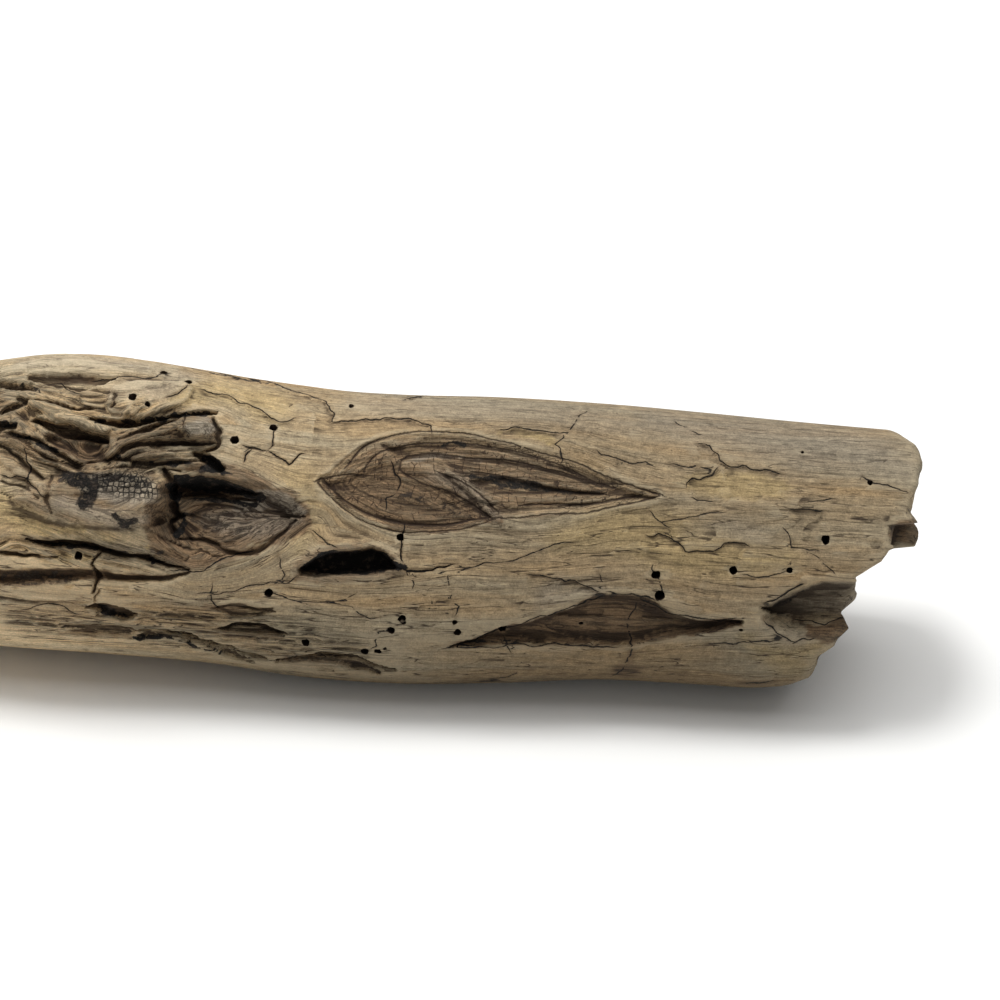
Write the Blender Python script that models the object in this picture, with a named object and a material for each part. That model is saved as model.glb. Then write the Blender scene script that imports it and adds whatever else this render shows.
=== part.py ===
"""A weathered piece of driftwood: one thick piece of a limb, lying on a small worn flat of its underside.

Run with blender --background --python part.py. The scene is in metres with +Z up and the log lies along X.

The relief is given in millimetres on the face that shows in the photograph, which looks up at an angle
towards the viewer. Along is the distance along the log, up is the distance up that face and front is the distance out
of it, all from the log's axis. The back, which the photograph hides, has the same measures."""

import itertools
import math

import bmesh
import bpy
import numpy as np

MM = 0.001

FACE_TILT = math.radians(35)
FRONT = np.array([0.0, -math.cos(FACE_TILT), math.sin(FACE_TILT)])
UP_THE_FACE = np.array([0.0, math.sin(FACE_TILT), math.cos(FACE_TILT)])

# The outline of the face, as (along, up).
TOP_LINE = [(-178, 40), (-152, 46), (-137, 48.5), (-122, 49), (-107, 48), (-92, 46.4), (-77, 44.6),
            (-62, 43.3), (-47, 42.3), (-32, 42.2), (-2, 42.9), (28, 42.7), (58, 41.6), (89, 40.2), (125, 39)]
BOTTOM_LINE = [(-178, -38), (-147, -39.7), (-117, -40.3), (-87, -41.3), (-57, -44.2), (-27, -44.7),
               (3, -42.8), (33, -40.3), (63, -40.2), (78, -40.3), (93, -38.5), (125, -36)]
# How deep the log is from front to back, for one unit of its height, and how its axis wanders forwards.
DEPTH_SHARE = [(-178, 0.91), (-120, 0.90), (-60, 0.87), (0, 0.85), (60, 0.82), (125, 0.79)]
AXIS_FORWARD = [(-178, 1.5), (-120, 2.5), (-60, 0.5), (0, -1.0), (60, 0.0), (125, 2.0)]

LEFT_END = -178.0
LEFT_RELIEF = 2.5
# The torn right end, as (up, along).
RIGHT_END = [(-44, 88), (-39, 90), (-36, 96), (-29, 98), (-26, 102.5), (-20, 106), (-16, 103.7), (-10, 108.4),
             (-5, 107.5), (0, 115), (3.6, 117.2), (4.8, 125), (10.6, 125), (15, 122), (24, 124), (30, 124.7),
             (35, 123.4), (38.6, 119.6), (45, 112)]
BACK_SHORTER = 7.0
BROKEN_STUB = {"low": 3.6, "high": 12.0, "front": 17.0, "shorter": 7.5}
RIM_ROUND = 4.0
RIM_ROUNDS = 4
# The pith, on which the ends' points close. It lies behind the torn hollow.
PITH_UP, PITH_FRONT = -4.0, -10.0

RINGS, SIDES = 380, 230
CAP_SHARE = 0.06
RIM_CROWDING = 1.6
TRIANGLES = 9200

REST_CUT = 2.2
HOLE_DEPTH = 8.0
HOLE_SIDES = 8
OUTLINE_WARP = 1.1
SWELL, GRAIN_RIDGES, BACK_FLUTES = 1.1, 0.7, 2.4
END_WANDER = 7.0
LATTICE = 32

# Hollows and grooves of the face: depth, width of the upper and of the lower slope, then the course as
# (along, up, half width). A depth below nought stands out of the face instead.
HOLLOW = [(-90, 1, 14), (-85, 2, 13.5), (-80, 3.5, 11.5), (-73, 4.5, 10), (-66, 4, 8.5), (-61, 3.5, 6),
          (-56, 6, 0.5)]
HOLLOW_DEEP = [(-97, 9, 2.5), (-92, 10.5, 4), (-85, 11, 4), (-78, 11, 2.5), (-72, 10, 1)]
SLOT = [(-57, -11.5, 1.5), (-50.5, -10, 4), (-43, -8.5, 4), (-34.5, -8, 3), (-30.5, -9.5, 1)]
SCAR_RIGHT = [(-35, 26.5, 1.5), (-30, 24.5, 3.5), (-19, 25.5, 6), (-10, 22, 9), (-1, 18, 11.5), (8, 18.5, 11),
              (16, 18.5, 9.5), (25, 18, 7.5), (34, 16, 4), (45, 14.5, 0.5)]
SCAR_LEFT = [(-53, 14, 0.5), (-47, 13, 3.5), (-41, 12.5, 6), (-35, 12.5, 8.5), (-30, 11.5, 10), (-24, 11, 10),
             (-18, 10, 9), (-12, 9.5, 6.5), (-6, 7.5, 3), (0, 5.5, 0.5)]
SCAR_RIDGE = [(-16, 19.5, 1.5), (-9, 13.5, 2), (-3, 8, 1.5), (0, 6, 0.5)]
SCAR_HEART = [(-9, 16.5, 1), (-1, 16, 3), (6, 16, 2.5), (17, 16, 1.5), (29, 16, 0.5)]
PEEL = [(-11, -31, 0.5), (-4, -28, 1.5), (2, -27, 2.5), (11, -25.5, 3), (19, -24, 4.5), (26, -22.5, 5),
        (31, -20.5, 7), (42, -20.5, 6.5), (45, -22, 4), (54, -22, 2.5), (60, -22.5, 1.5), (72, -20, 0.5)]
TORN_HOLLOW = [(76, -15, 0.5), (81, -17.5, 4.5), (87, -17.5, 7.5), (94, -15.5, 9), (102, -14.5, 9.5),
               (116, -13, 10)]
BRANCH_FACE = [(-140, 4.5, 3), (-128, 5.5, 7.5), (-115, 7.5, 10.5), (-102, 7, 8)]
TWISTED_STUB = [(-115, 20.5, 4), (-105, 23.5, 4), (-96, 28, 4), (-89, 27.5, 4.5)]
STUB_KNOB = [(-92, 27, 4), (-87, 28, 4)]
STUB_VALLEY = [(-120, 29, 1), (-110, 28.5, 2), (-103, 30, 1.5), (-94, 32, 1), (-89, 33, 1.5), (-85, 33.5, 1)]
FLAKE = [(-113, 35.5, 4.5), (-105, 36.5, 5.5), (-96, 38.5, 4)]
TONGUE = [(-139, 33, 1.5), (-131, 31, 2.5), (-123, 28.5, 2.5), (-117, 26, 2)]
TONGUE_VALLEY = [(-137, 28, 1), (-130, 26, 2), (-122, 24, 1.5), (-116, 22.5, 1)]
BROWN_RECESS = [(-133, 22.5, 2.5), (-126, 21.5, 4), (-118, 21, 4)]
LOW_STRAND = [(-114, 17, 1.5), (-103, 19.5, 2.5), (-94, 17.5, 2), (-87, 17.5, 1)]
KNOB_GAP = [(-90, 20.5, 1), (-85, 19, 2), (-82, 16.5, 1.5)]
TOP_RECESS = [(-141, 41, 1), (-132, 41, 2), (-123, 41, 2), (-116, 42, 0.5)]
LEFT_RECESS = [(-152, 38.5, 1), (-143, 38.5, 1.5), (-138, 37.5, 0.5)]
LOW_LEFT_RECESS = [(-150, 26, 1), (-147, 26, 1.5), (-142, 26, 1)]
LEFT_SWIRL = [(-150, 23, 1), (-141, 22, 1), (-135, 17.5, 1), (-124, 14.5, 1)]
LONG_CRACK = [(-137, -7, 0.5), (-132, -7.5, 1), (-122, -8, 1.5), (-113, -8.5, 1.5), (-104, -10, 1.5),
              (-97, -12, 1), (-90, -13.5, 0.5)]
SHORT_CRACK = [(-150, -10.5, 0.5), (-144, -11, 1), (-135, -11.5, 1), (-128, -12.5, 0.5)]
DARK_GROOVE = [(-178, -19, 1.5), (-157, -19, 2.5), (-144, -18.5, 3), (-130, -17, 2.5), (-116, -16.5, 2.5),
               (-101, -16, 2), (-90, -14.5, 1)]
CROSS_CRACK = [(-116, -9.5, 0.5), (-118.5, -14, 0.5), (-117, -16.5, 1), (-117.5, -22, 0.5)]
STUB_CLIFF = [(-99, 15.5, 1), (-96, 11, 1.5), (-96.5, 7, 1.5), (-94, 2.5, 1.5), (-95.5, -2, 1)]
LOW_PITS = [(-116, -27, 1.5), (-108, -26.5, 1.5)]
LOW_SCOOP = [(-128, -34, 2), (-116, -33.5, 3), (-105, -33, 2)]
MIDDLE_PIT = [(-82, -25.5, 1.5), (-73, -25.5, 2), (-66, -24.5, 1)]
MIDDLE_SCOOP = [(-80, -31, 1), (-72, -30.5, 2), (-62, -30, 1)]
LOW_CRACK = [(-105, -33, 0.5), (-97, -32.5, 1), (-90, -34, 1), (-83, -36, 1), (-74, -38, 1), (-67, -38.5, 0.5)]
BOTTOM_RECESS = [(-64, -39, 0.5), (-51, -38, 1), (-40, -38, 1), (-33, -39.5, 1), (-29, -40, 0.5)]

# Hollows and grooves of the back.
BACK_SCAR = [(-82, 6, 0.5), (-70, 8, 6), (-56, 9, 11), (-44, 7, 12), (-32, 5, 9), (-20, 4, 4), (-8, 4, 0.5)]
BACK_GROOVE = [(-172, 20, 0.5), (-140, 22, 2.5), (-104, 19, 3), (-66, 24, 2), (-30, 22, 0.5)]
BACK_CHECK = [(-20, -9, 0.5), (10, -8, 1.5), (44, -11, 1.5), (82, -8, 1), (118, -10, 1.5)]
BACK_PEEL = [(10, 19, 0.5), (24, 20, 4), (46, 17, 6), (66, 19, 3), (80, 20, 0.5)]
BACK_SCOOP = [(-158, 2, 3), (-146, 4, 7), (-130, 2, 8), (-114, -1, 5)]
BACK_LOW_GROOVE = [(-160, -16, 0.5), (-120, -19, 2), (-86, -17, 2.5), (-58, -20, 0.5)]

# Holes of boring beetles, as (along, up, radius).
FRONT_HOLES = [(-94.5, 42, 1.2), (-79, 25.5, 1.3), (-68, 30, 1.2), (-104.5, 32, 1.2), (-108, 34, 1.2),
               (-102, 44.5, 1.1), (-122, -11, 1.2), (-29, -0.5, 1.1), (-66.5, -19, 1.3), (-27.5, -24.5, 1.2),
               (-30.5, -28, 1.2), (-55.5, -33.5, 1.2), (-38, -35, 1.2), (-34, -34.5, 1.1), (-11, -27.5, 1.1),
               (46, -7.5, 1.3), (95, 5.5, 1.3), (68.5, -5, 1.2), (85, -4, 1.1), (107.5, 23, 1.5)]
BACK_HOLES = [(-128, 8, 1.2), (-96, -4, 1.3), (-12, 18, 1.2), (34, -20, 1.2),
              (72, 6, 1.3), (98, 20, 1.2)]


def smooth_line(points, x):
    """The height at x of a smooth curve through the points."""
    at, height = np.array(points, float).T
    slope = np.gradient(height, at)
    left = np.clip(np.searchsorted(at, x) - 1, 0, len(at) - 2)
    step = at[left + 1] - at[left]
    share = np.clip((x - at[left]) / step, 0, 1)
    rest = 1 - share
    start = (1 + 2 * share) * rest**2 * height[left] + share * rest**2 * step * slope[left]
    finish = share**2 * (3 - 2 * share) * height[left + 1] - share**2 * rest * step * slope[left + 1]
    return start + finish


def ease(share):
    """Nought below 0, one above 1 and a smooth rise between."""
    share = np.clip(share, 0, 1)
    return share * share * (3 - 2 * share)


def cloud(places, size, seed):
    """Smooth random values from -1 to 1 that change over about `size` millimetres."""
    lattice = np.random.default_rng(seed).uniform(-1, 1, (LATTICE, LATTICE, LATTICE))
    scaled = places / np.array(size, float)
    cell = np.floor(scaled).astype(int)
    share = ease(scaled - cell)
    total = np.zeros(len(places))
    for corner in itertools.product((0, 1), repeat=3):
        weight = np.prod(np.where(corner, share, 1 - share), axis=1)
        x, y, z = ((cell + corner) % LATTICE).T
        total += weight * lattice[x, y, z]
    return total


def inside_stroke(course, along, up):
    """How far inside the stroke's edge each place lies, and how far above its line."""
    deepest = np.full(len(along), -1e3)
    side = np.zeros(len(along))
    for (x0, y0, w0), (x1, y1, w1) in zip(course, course[1:]):
        run_x, run_y = x1 - x0, y1 - y0
        length = math.hypot(run_x, run_y)
        share = np.clip(((along - x0) * run_x + (up - y0) * run_y) / length**2, 0, 1)
        off_x = along - x0 - share * run_x
        off_y = up - y0 - share * run_y
        inside = w0 + share * (w1 - w0) - np.hypot(off_x, off_y)
        nearer = inside > deepest
        deepest = np.where(nearer, inside, deepest)
        side = np.where(nearer, (run_x * (up - y0) - run_y * (along - x0)) / length, side)
    return deepest, side


def groove(course, depth, upper_slope, lower_slope, along, up):
    """The depth of one hollow at each place."""
    inside, side = inside_stroke(course, along, up)
    slope = np.where(side > 0, upper_slope, lower_slope)
    return depth * ease(inside / slope)


def narrowed(course, share):
    return [(along, up, width * share) for along, up, width in course]


def widened(course, extra):
    return [(along, up, width + extra) for along, up, width in course]


def front_depth(along, up):
    """How deep the face is cut at each place, less what stands out of it."""
    hollows = [
        (HOLLOW, 6, 7, 13), (HOLLOW_DEEP, 8, 2.5, 4), (widened(SLOT, 4), -1.2, 4, 4), (SLOT, 13, 1.4, 2.4),
        (widened(SCAR_RIGHT, 2.5), -0.8, 2.5, 2.5), (SCAR_RIGHT, 2.2, 1.2, 1.2),
        (narrowed(SCAR_RIGHT, 0.62), 1.6, 1, 1), (SCAR_HEART, 2.2, 1.5, 1.5),
        (widened(SCAR_LEFT, 2.5), -0.8, 2.5, 2.5), (SCAR_LEFT, 2.0, 1.2, 1.2),
        (narrowed(SCAR_LEFT, 0.6), 1.4, 1, 1), (SCAR_RIDGE, -1.8, 1.5, 1.5),
        (PEEL, 4, 0.9, 2.5), (TORN_HOLLOW, 11, 2.2, 8), (BRANCH_FACE, -5, 4, 5), (TWISTED_STUB, -4, 4, 3),
        (STUB_KNOB, -2.5, 3, 3), (STUB_VALLEY, 6.5, 1.2, 1.2), (FLAKE, -1.5, 1.5, 1.2), (TONGUE, -3, 1.5, 1.5),
        (TONGUE_VALLEY, 5, 1, 1), (BROWN_RECESS, 3, 2, 2), (LOW_STRAND, -1.5, 1.2, 1.2), (KNOB_GAP, 5, 1, 1),
        (TOP_RECESS, 3, 0.9, 0.9), (LEFT_RECESS, 3, 0.9, 0.9), (LOW_LEFT_RECESS, 3, 1, 1),
        (LEFT_SWIRL, 2.5, 1, 1), (LONG_CRACK, 7, 0.9, 0.9), (SHORT_CRACK, 5, 0.9, 0.9),
        (DARK_GROOVE, 5, 1.5, 1.8), (CROSS_CRACK, 3, 0.8, 0.8), (STUB_CLIFF, 5, 1.5, 1.5), (LOW_PITS, 3, 1, 1),
        (LOW_SCOOP, 2.5, 2, 2), (MIDDLE_PIT, 1.5, 1, 1), (MIDDLE_SCOOP, 2.5, 1.2, 1.2),
        (LOW_CRACK, 4, 0.8, 0.8), (BOTTOM_RECESS, 3, 0.8, 0.8),
    ]
    return sum(groove(course, *form, along, up) for course, *form in hollows)


def back_depth(along, up):
    hollows = [
        (widened(BACK_SCAR, 3), -1, 3, 3), (BACK_SCAR, 2.4, 1.5, 1.5), (narrowed(BACK_SCAR, 0.6), 2, 1.2, 1.2),
        (narrowed(BACK_SCAR, 0.25), 2.2, 1, 1), (BACK_GROOVE, 4, 1.5, 2), (BACK_CHECK, 5, 1, 1),
        (BACK_PEEL, 3, 1, 3), (BACK_SCOOP, 4.5, 5, 3), (BACK_LOW_GROOVE, 3.5, 1.2, 1.2),
    ]
    return sum(groove(course, *form, along, up) for course, *form in hollows)


def section(along):
    """The middle of the cross-section as (up, front), and its half height and half depth."""
    top = smooth_line(TOP_LINE, along)
    bottom = smooth_line(BOTTOM_LINE, along)
    half_height = (top - bottom) / 2
    half_depth = half_height * smooth_line(DEPTH_SHARE, along)
    return (top + bottom) / 2, smooth_line(AXIS_FORWARD, along), half_height, half_depth


def left_end(up, front):
    """How far along the weathered left end stands at each place of the cross-section."""
    places = np.stack([np.zeros_like(up), up, front], axis=1)
    return LEFT_END + LEFT_RELIEF * (0.5 + 0.5 * cloud(places, 16, seed=5))


def right_end(up, front):
    """The torn right end, shorter at the back and at the stub's broken front skin."""
    places = np.stack([np.zeros_like(up), up, front], axis=1)
    wandered = up + END_WANDER * ease(-front / 12) * cloud(places, (20, 25, 11), seed=8)
    along = np.interp(wandered, *np.array(RIGHT_END, float).T)
    along = along - BACK_SHORTER * ease(-front / 24)
    stub = BROKEN_STUB
    in_height = ease((up - stub["low"]) / 1.5) * ease((stub["high"] - up) / 1.5)
    in_stub = in_height * ease((front - stub["front"]) / 3)
    return along - stub["shorter"] * in_stub - 2.0 * (0.5 + 0.5 * cloud(places, (9, 4, 7), seed=6))


def skin(along, angle):
    """The surface at each place along the log and angle round it, as (up, front)."""
    middle_up, middle_front, half_height, half_depth = section(along)
    sine, cosine = np.sin(angle), np.cos(angle)
    up = middle_up + half_height * sine
    front = middle_front + half_depth * cosine
    places = np.stack([along, up, front], axis=1)
    warped_along = along + OUTLINE_WARP * cloud(places, (12, 8, 12), seed=1)
    warped_up = up + 0.7 * OUTLINE_WARP * cloud(places, (12, 8, 12), seed=2)
    depth = front_depth(warped_along, warped_up) * ease(cosine / 0.25)
    depth += back_depth(warped_along, warped_up) * ease(-cosine / 0.25)
    depth += SWELL * cosine**2 * cloud(places, (34, 22, 22), seed=3)
    depth += GRAIN_RIDGES * cosine**2 * cloud(places, (48, 5, 9), seed=4)
    depth += BACK_FLUTES * ease(-cosine / 0.6) * cloud(places, (75, 10, 14), seed=7)
    inward = angle - 0.45 * np.sin(2 * angle)
    return up - depth * np.sin(inward), front - depth * np.cos(inward)


def rim(end, side, angle):
    """Where the side meets the rounded rim of an end, for each angle round the log. The place along the log
    decides the relief there, and the relief decides the place, so it is found in a few rounds."""
    along = np.full_like(angle, end(np.zeros(1), np.zeros(1))[0] - side * RIM_ROUND)
    for _ in range(RIM_ROUNDS):
        along = end(*skin(along, angle)) - side * RIM_ROUND
    return along


def surface(ring_share, angle):
    """Millimetre coordinates of the whole log. The ring share runs from the middle of the left end, over its
    rim and along the side, to the middle of the right end."""
    left_inset = np.clip(1 - ring_share / CAP_SHARE, 0, 1) ** RIM_CROWDING
    right_inset = np.clip(1 - (1 - ring_share) / CAP_SHARE, 0, 1) ** RIM_CROWDING
    side_share = np.clip((ring_share - CAP_SHARE) / (1 - 2 * CAP_SHARE), 0, 1)
    left_rim, right_rim = rim(left_end, -1, angle), rim(right_end, 1, angle)
    along = left_rim + side_share * (right_rim - left_rim)
    up, front = skin(along, angle)
    from_pith = np.hypot(up - PITH_UP, front - PITH_FRONT)
    ends = ((left_end, -1, left_inset, left_rim), (right_end, 1, right_inset, right_rim))
    for end, side, inset, end_rim in ends:
        missed = end_rim + side * RIM_ROUND - end(up, front)
        inner_up = PITH_UP + (up - PITH_UP) * (1 - inset)
        inner_front = PITH_FRONT + (front - PITH_FRONT) * (1 - inset)
        from_rim = np.clip(RIM_ROUND - inset * from_pith, 0, RIM_ROUND)
        setback = RIM_ROUND - np.sqrt(RIM_ROUND**2 - from_rim**2)
        cap = end(inner_up, inner_front) + missed * (1 - inset) ** 4 - side * setback
        along = np.where(inset > 0, cap, along)
        up, front = inner_up, inner_front
    across = up[:, None] * UP_THE_FACE + front[:, None] * FRONT
    return across + along[:, None] * np.array([1.0, 0.0, 0.0])


def add_object(name, mesh, collection, frame):
    obj = bpy.data.objects.new(name, mesh)
    obj.parent = frame
    collection.objects.link(obj)
    return obj


def log_mesh():
    """A sphere of many rings, whose points are moved onto the log's surface."""
    shape = bmesh.new()
    bmesh.ops.create_uvsphere(shape, u_segments=SIDES, v_segments=RINGS, radius=1)
    bmesh.ops.triangulate(shape, faces=shape.faces)
    mesh = bpy.data.meshes.new("fine driftwood")
    shape.to_mesh(mesh)
    shape.free()
    points = np.empty(len(mesh.vertices) * 3, np.float32)
    mesh.vertices.foreach_get("co", points)
    x, y, z = points.reshape(-1, 3).astype(float).T
    placed = surface(np.arccos(np.clip(-z, -1, 1)) / math.pi, np.arctan2(x, y)) * MM
    mesh.vertices.foreach_set("co", placed.astype(np.float32).ravel())
    mesh.update()
    return mesh


def face_groups(shape):
    """The groups of faces that hang together across edges shared by just two faces."""
    waiting = set(shape.faces)
    groups = []
    while waiting:
        group = [waiting.pop()]
        for face in group:
            for edge in face.edges:
                fresh = set(edge.link_faces) & waiting if len(edge.link_faces) == 2 else set()
                waiting -= fresh
                group.extend(fresh)
        groups.append(group)
    return sorted(groups, key=len)


def coarser(mesh):
    """The mesh with fewer triangles, which lie closest where the relief is. Joining points can fold off a
    sliver that hangs on by one edge, so only the largest group of faces stays."""
    shaping = bpy.data.objects.new("shaping", mesh)
    bpy.context.scene.collection.objects.link(shaping)
    fewer = shaping.modifiers.new("fewer faces", "DECIMATE")
    fewer.ratio = TRIANGLES / len(mesh.polygons)
    evaluated = shaping.evaluated_get(bpy.context.evaluated_depsgraph_get())
    result = bpy.data.meshes.new_from_object(evaluated)
    result.name = "driftwood"
    bpy.data.objects.remove(shaping)
    shape = bmesh.new()
    shape.from_mesh(result)
    slivers = [face for group in face_groups(shape)[:-1] for face in group]
    bmesh.ops.delete(shape, geom=slivers, context="FACES")
    shape.to_mesh(result)
    shape.free()
    return result


def weathered_wood():
    material = bpy.data.materials.new("weathered wood")
    material.use_nodes = True
    shader = material.node_tree.nodes["Principled BSDF"]
    shader.inputs["Base Color"].default_value = (0.33, 0.25, 0.16, 1)
    shader.inputs["Roughness"].default_value = 0.85
    shader.inputs["Metallic"].default_value = 0.0
    return material


def add_hole(name, hole, way_out, cutters, frame):
    """A peg where a beetle came out. It reaches HOLE_DEPTH under the plain section."""
    along, up, radius = hole
    middle_up, middle_front, half_height, half_depth = section(along)
    lean = (up - middle_up) / half_height
    front = middle_front + way_out * half_depth * math.sqrt(1 - lean**2)
    direction = way_out * FRONT + 0.5 * lean * UP_THE_FACE
    middle = np.array([along, 0, 0]) + up * UP_THE_FACE + front * FRONT
    shape = bmesh.new()
    bmesh.ops.create_cone(shape, cap_ends=True, segments=HOLE_SIDES, depth=2 * HOLE_DEPTH * MM,
                          radius1=radius * MM, radius2=radius * MM)
    mesh = bpy.data.meshes.new(name)
    shape.to_mesh(mesh)
    shape.free()
    peg = add_object(name, mesh, cutters, frame)
    peg.location = middle * MM
    peg.rotation_euler = (math.atan2(-direction[1], direction[2]), 0, 0)
    return peg


def add_floor_cutter(lowest, cutters, frame):
    """The block below the plane that the log has worn flat and rests on."""
    shape = bmesh.new()
    bmesh.ops.create_cube(shape, size=1)
    mesh = bpy.data.meshes.new("worn flat")
    shape.to_mesh(mesh)
    shape.free()
    block = add_object("worn flat", mesh, cutters, frame)
    block.scale = (0.5, 0.2, 0.02)
    block.location = (0, 0, lowest + REST_CUT * MM - 0.01)
    return block


def add_collection(name):
    collection = bpy.data.collections.new(name)
    bpy.context.scene.collection.children.link(collection)
    return collection


def main():
    for obj in list(bpy.data.objects):
        bpy.data.objects.remove(obj)
    parts = add_collection("driftwood")
    cutters = add_collection("cutters")
    frame = bpy.data.objects.new("driftwood frame", None)
    parts.objects.link(frame)

    mesh = coarser(log_mesh())
    mesh.materials.append(weathered_wood())
    log = add_object("driftwood", mesh, parts, frame)
    lowest = min(vertex.co.z for vertex in mesh.vertices)

    add_floor_cutter(lowest, cutters, frame)
    for number, hole in enumerate(FRONT_HOLES, 1):
        add_hole(f"front hole {number}", hole, 1, cutters, frame)
    for number, hole in enumerate(BACK_HOLES, 1):
        add_hole(f"back hole {number}", hole, -1, cutters, frame)
    for cutter in cutters.objects:
        cutter.hide_render = True
        cutter.display_type = "WIRE"

    cut = log.modifiers.new("worn flat and holes", "BOOLEAN")
    cut.operation = "DIFFERENCE"
    cut.operand_type = "COLLECTION"
    cut.collection = cutters
    cut.solver = "EXACT"

    bpy.context.view_layer.update()
    finished = log.evaluated_get(bpy.context.evaluated_depsgraph_get())
    corners = np.array(finished.bound_box)
    low, high = corners.min(axis=0), corners.max(axis=0)
    frame.location = (-(low[0] + high[0]) / 2, -(low[1] + high[1]) / 2, -low[2])
    print("driftwood, metres:", np.round(high - low, 4), "faces:", len(finished.data.polygons))


main()
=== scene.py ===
# %% [markdown]
# # A weathered piece of driftwood
#
# This lesson builds one piece of driftwood: a thick length of a limb that the sea has stripped, split
# and bleached. It has two knots, a rotten hollow, a torn right end, cracks along its grain and the
# holes of boring beetles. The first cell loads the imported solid, which is the frame that everything
# here has to fit.

# %% The frame
import itertools
import math

import bmesh
import bpy
import numpy as np
from mathutils import Matrix, Vector


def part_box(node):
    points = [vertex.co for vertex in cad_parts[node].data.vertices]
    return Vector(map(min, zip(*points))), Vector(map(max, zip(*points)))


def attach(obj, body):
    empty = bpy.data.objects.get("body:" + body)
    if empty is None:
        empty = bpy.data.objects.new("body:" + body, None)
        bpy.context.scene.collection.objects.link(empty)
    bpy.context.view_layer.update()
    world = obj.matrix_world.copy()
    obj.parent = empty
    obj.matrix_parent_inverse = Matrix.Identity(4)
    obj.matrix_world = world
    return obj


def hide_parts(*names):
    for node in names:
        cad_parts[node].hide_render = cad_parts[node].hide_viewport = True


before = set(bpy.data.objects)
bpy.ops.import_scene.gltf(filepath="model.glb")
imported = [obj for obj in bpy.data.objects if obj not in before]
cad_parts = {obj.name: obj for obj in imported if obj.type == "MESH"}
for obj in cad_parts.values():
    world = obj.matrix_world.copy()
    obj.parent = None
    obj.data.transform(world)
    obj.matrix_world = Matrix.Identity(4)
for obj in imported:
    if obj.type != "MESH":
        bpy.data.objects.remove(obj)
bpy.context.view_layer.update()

MM = 0.001

# %% [markdown]
# ## Where a place on the log is
#
# The face that shows best leans back, so it looks up at the viewer. It is easiest to measure the log
# square to that face: *along* the log, *up* the face and out of it to the *front*, all in millimetres
# from the axis. A place on the log is then a sum of three directions, and so is the way back.

# %% The directions of the face
FACE_TILT = math.radians(35)
ALONG = np.array([1.0, 0.0, 0.0])
FRONT = np.array([0.0, -math.cos(FACE_TILT), math.sin(FACE_TILT)])
UP_THE_FACE = np.array([0.0, math.sin(FACE_TILT), math.cos(FACE_TILT)])
print("the face looks along", np.round(FRONT, 2))

# %% [markdown]
# ## The outline of the wood
#
# A limb tapers, swells round its knots and wanders. Seen square to the face, its outline is a top line
# and a bottom line, each measured at a few places. Its depth is a share of its height. The torn right
# end is a measured line too, because no rule gives a tear.

# %% The outline
TOP_LINE = [(-178, 40), (-152, 46), (-137, 48.5), (-122, 49), (-107, 48), (-92, 46.4), (-77, 44.6),
    (-62, 43.3), (-47, 42.3), (-32, 42.2), (-2, 42.9), (28, 42.7), (58, 41.6), (89, 40.2), (125, 39)]
BOTTOM_LINE = [(-178, -38), (-147, -39.7), (-117, -40.3), (-87, -41.3), (-57, -44.2), (-27, -44.7),
    (3, -42.8), (33, -40.3), (63, -40.2), (78, -40.3), (93, -38.5), (125, -36)]
DEPTH_SHARE = [(-178, 0.91), (-120, 0.90), (-60, 0.87), (0, 0.85), (60, 0.82), (125, 0.79)]
AXIS_FORWARD = [(-178, 1.5), (-120, 2.5), (-60, 0.5), (0, -1.0), (60, 0.0), (125, 2.0)]
LEFT_END, LEFT_RELIEF = -178.0, 2.5
RIGHT_END = [(-44, 88), (-39, 90), (-36, 96), (-29, 98), (-26, 102.5), (-20, 106), (-16, 103.7),
    (-10, 108.4), (-5, 107.5), (0, 115), (3.6, 117.2), (4.8, 125), (10.6, 125), (15, 122), (24, 124),
    (30, 124.7), (35, 123.4), (38.6, 119.6), (45, 112)]
BACK_SHORTER = 7.0
BROKEN_STUB = {"low": 3.6, "high": 12.0, "front": 17.0, "shorter": 7.5}
RIM_ROUND = 4.0
RIM_ROUNDS = 4
PITH_UP, PITH_FRONT = -4.0, -10.0
print("the outline has", len(TOP_LINE) + len(BOTTOM_LINE) + len(RIGHT_END), "measured points")


# %% Lines, slopes and wandering values
def smooth_line(points, x):
    """The height at x of a smooth curve through the points."""
    at, height = np.array(points, float).T
    slope = np.gradient(height, at)
    left = np.clip(np.searchsorted(at, x) - 1, 0, len(at) - 2)
    step = at[left + 1] - at[left]
    share = np.clip((x - at[left]) / step, 0, 1)
    rest = 1 - share
    start = (1 + 2 * share) * rest**2 * height[left] + share * rest**2 * step * slope[left]
    finish = share**2 * (3 - 2 * share) * height[left + 1] - share**2 * rest * step * slope[left + 1]
    return start + finish


def ease(share):
    """Nought below 0, one above 1 and a smooth rise between."""
    share = np.clip(share, 0, 1)
    return share * share * (3 - 2 * share)


def flowing(course, step=2.5):
    """The same course with more points, so that it bends smoothly."""
    points = np.array(course, float)
    walked = np.concatenate([[0], np.cumsum(np.hypot(*np.diff(points[:, :2], axis=0).T))])
    at = np.linspace(0, walked[-1], int(walked[-1] / step) + 2)
    columns = [smooth_line(list(zip(walked, column)), at) for column in points.T]
    return [tuple(point) for point in np.stack(columns, axis=1)]


LATTICE = 32


def cloud(places, size, seed):
    """Smooth random values from -1 to 1 that change over about `size` millimetres."""
    lattice = np.random.default_rng(seed).uniform(-1, 1, (LATTICE, LATTICE, LATTICE))
    scaled = places / np.array(size, float)
    cell = np.floor(scaled).astype(int)
    share = ease(scaled - cell)
    total = np.zeros(len(places))
    for corner in itertools.product((0, 1), repeat=3):
        weight = np.prod(np.where(corner, share, 1 - share), axis=1)
        x, y, z = ((cell + corner) % LATTICE).T
        total += weight * lattice[x, y, z]
    return total


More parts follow.
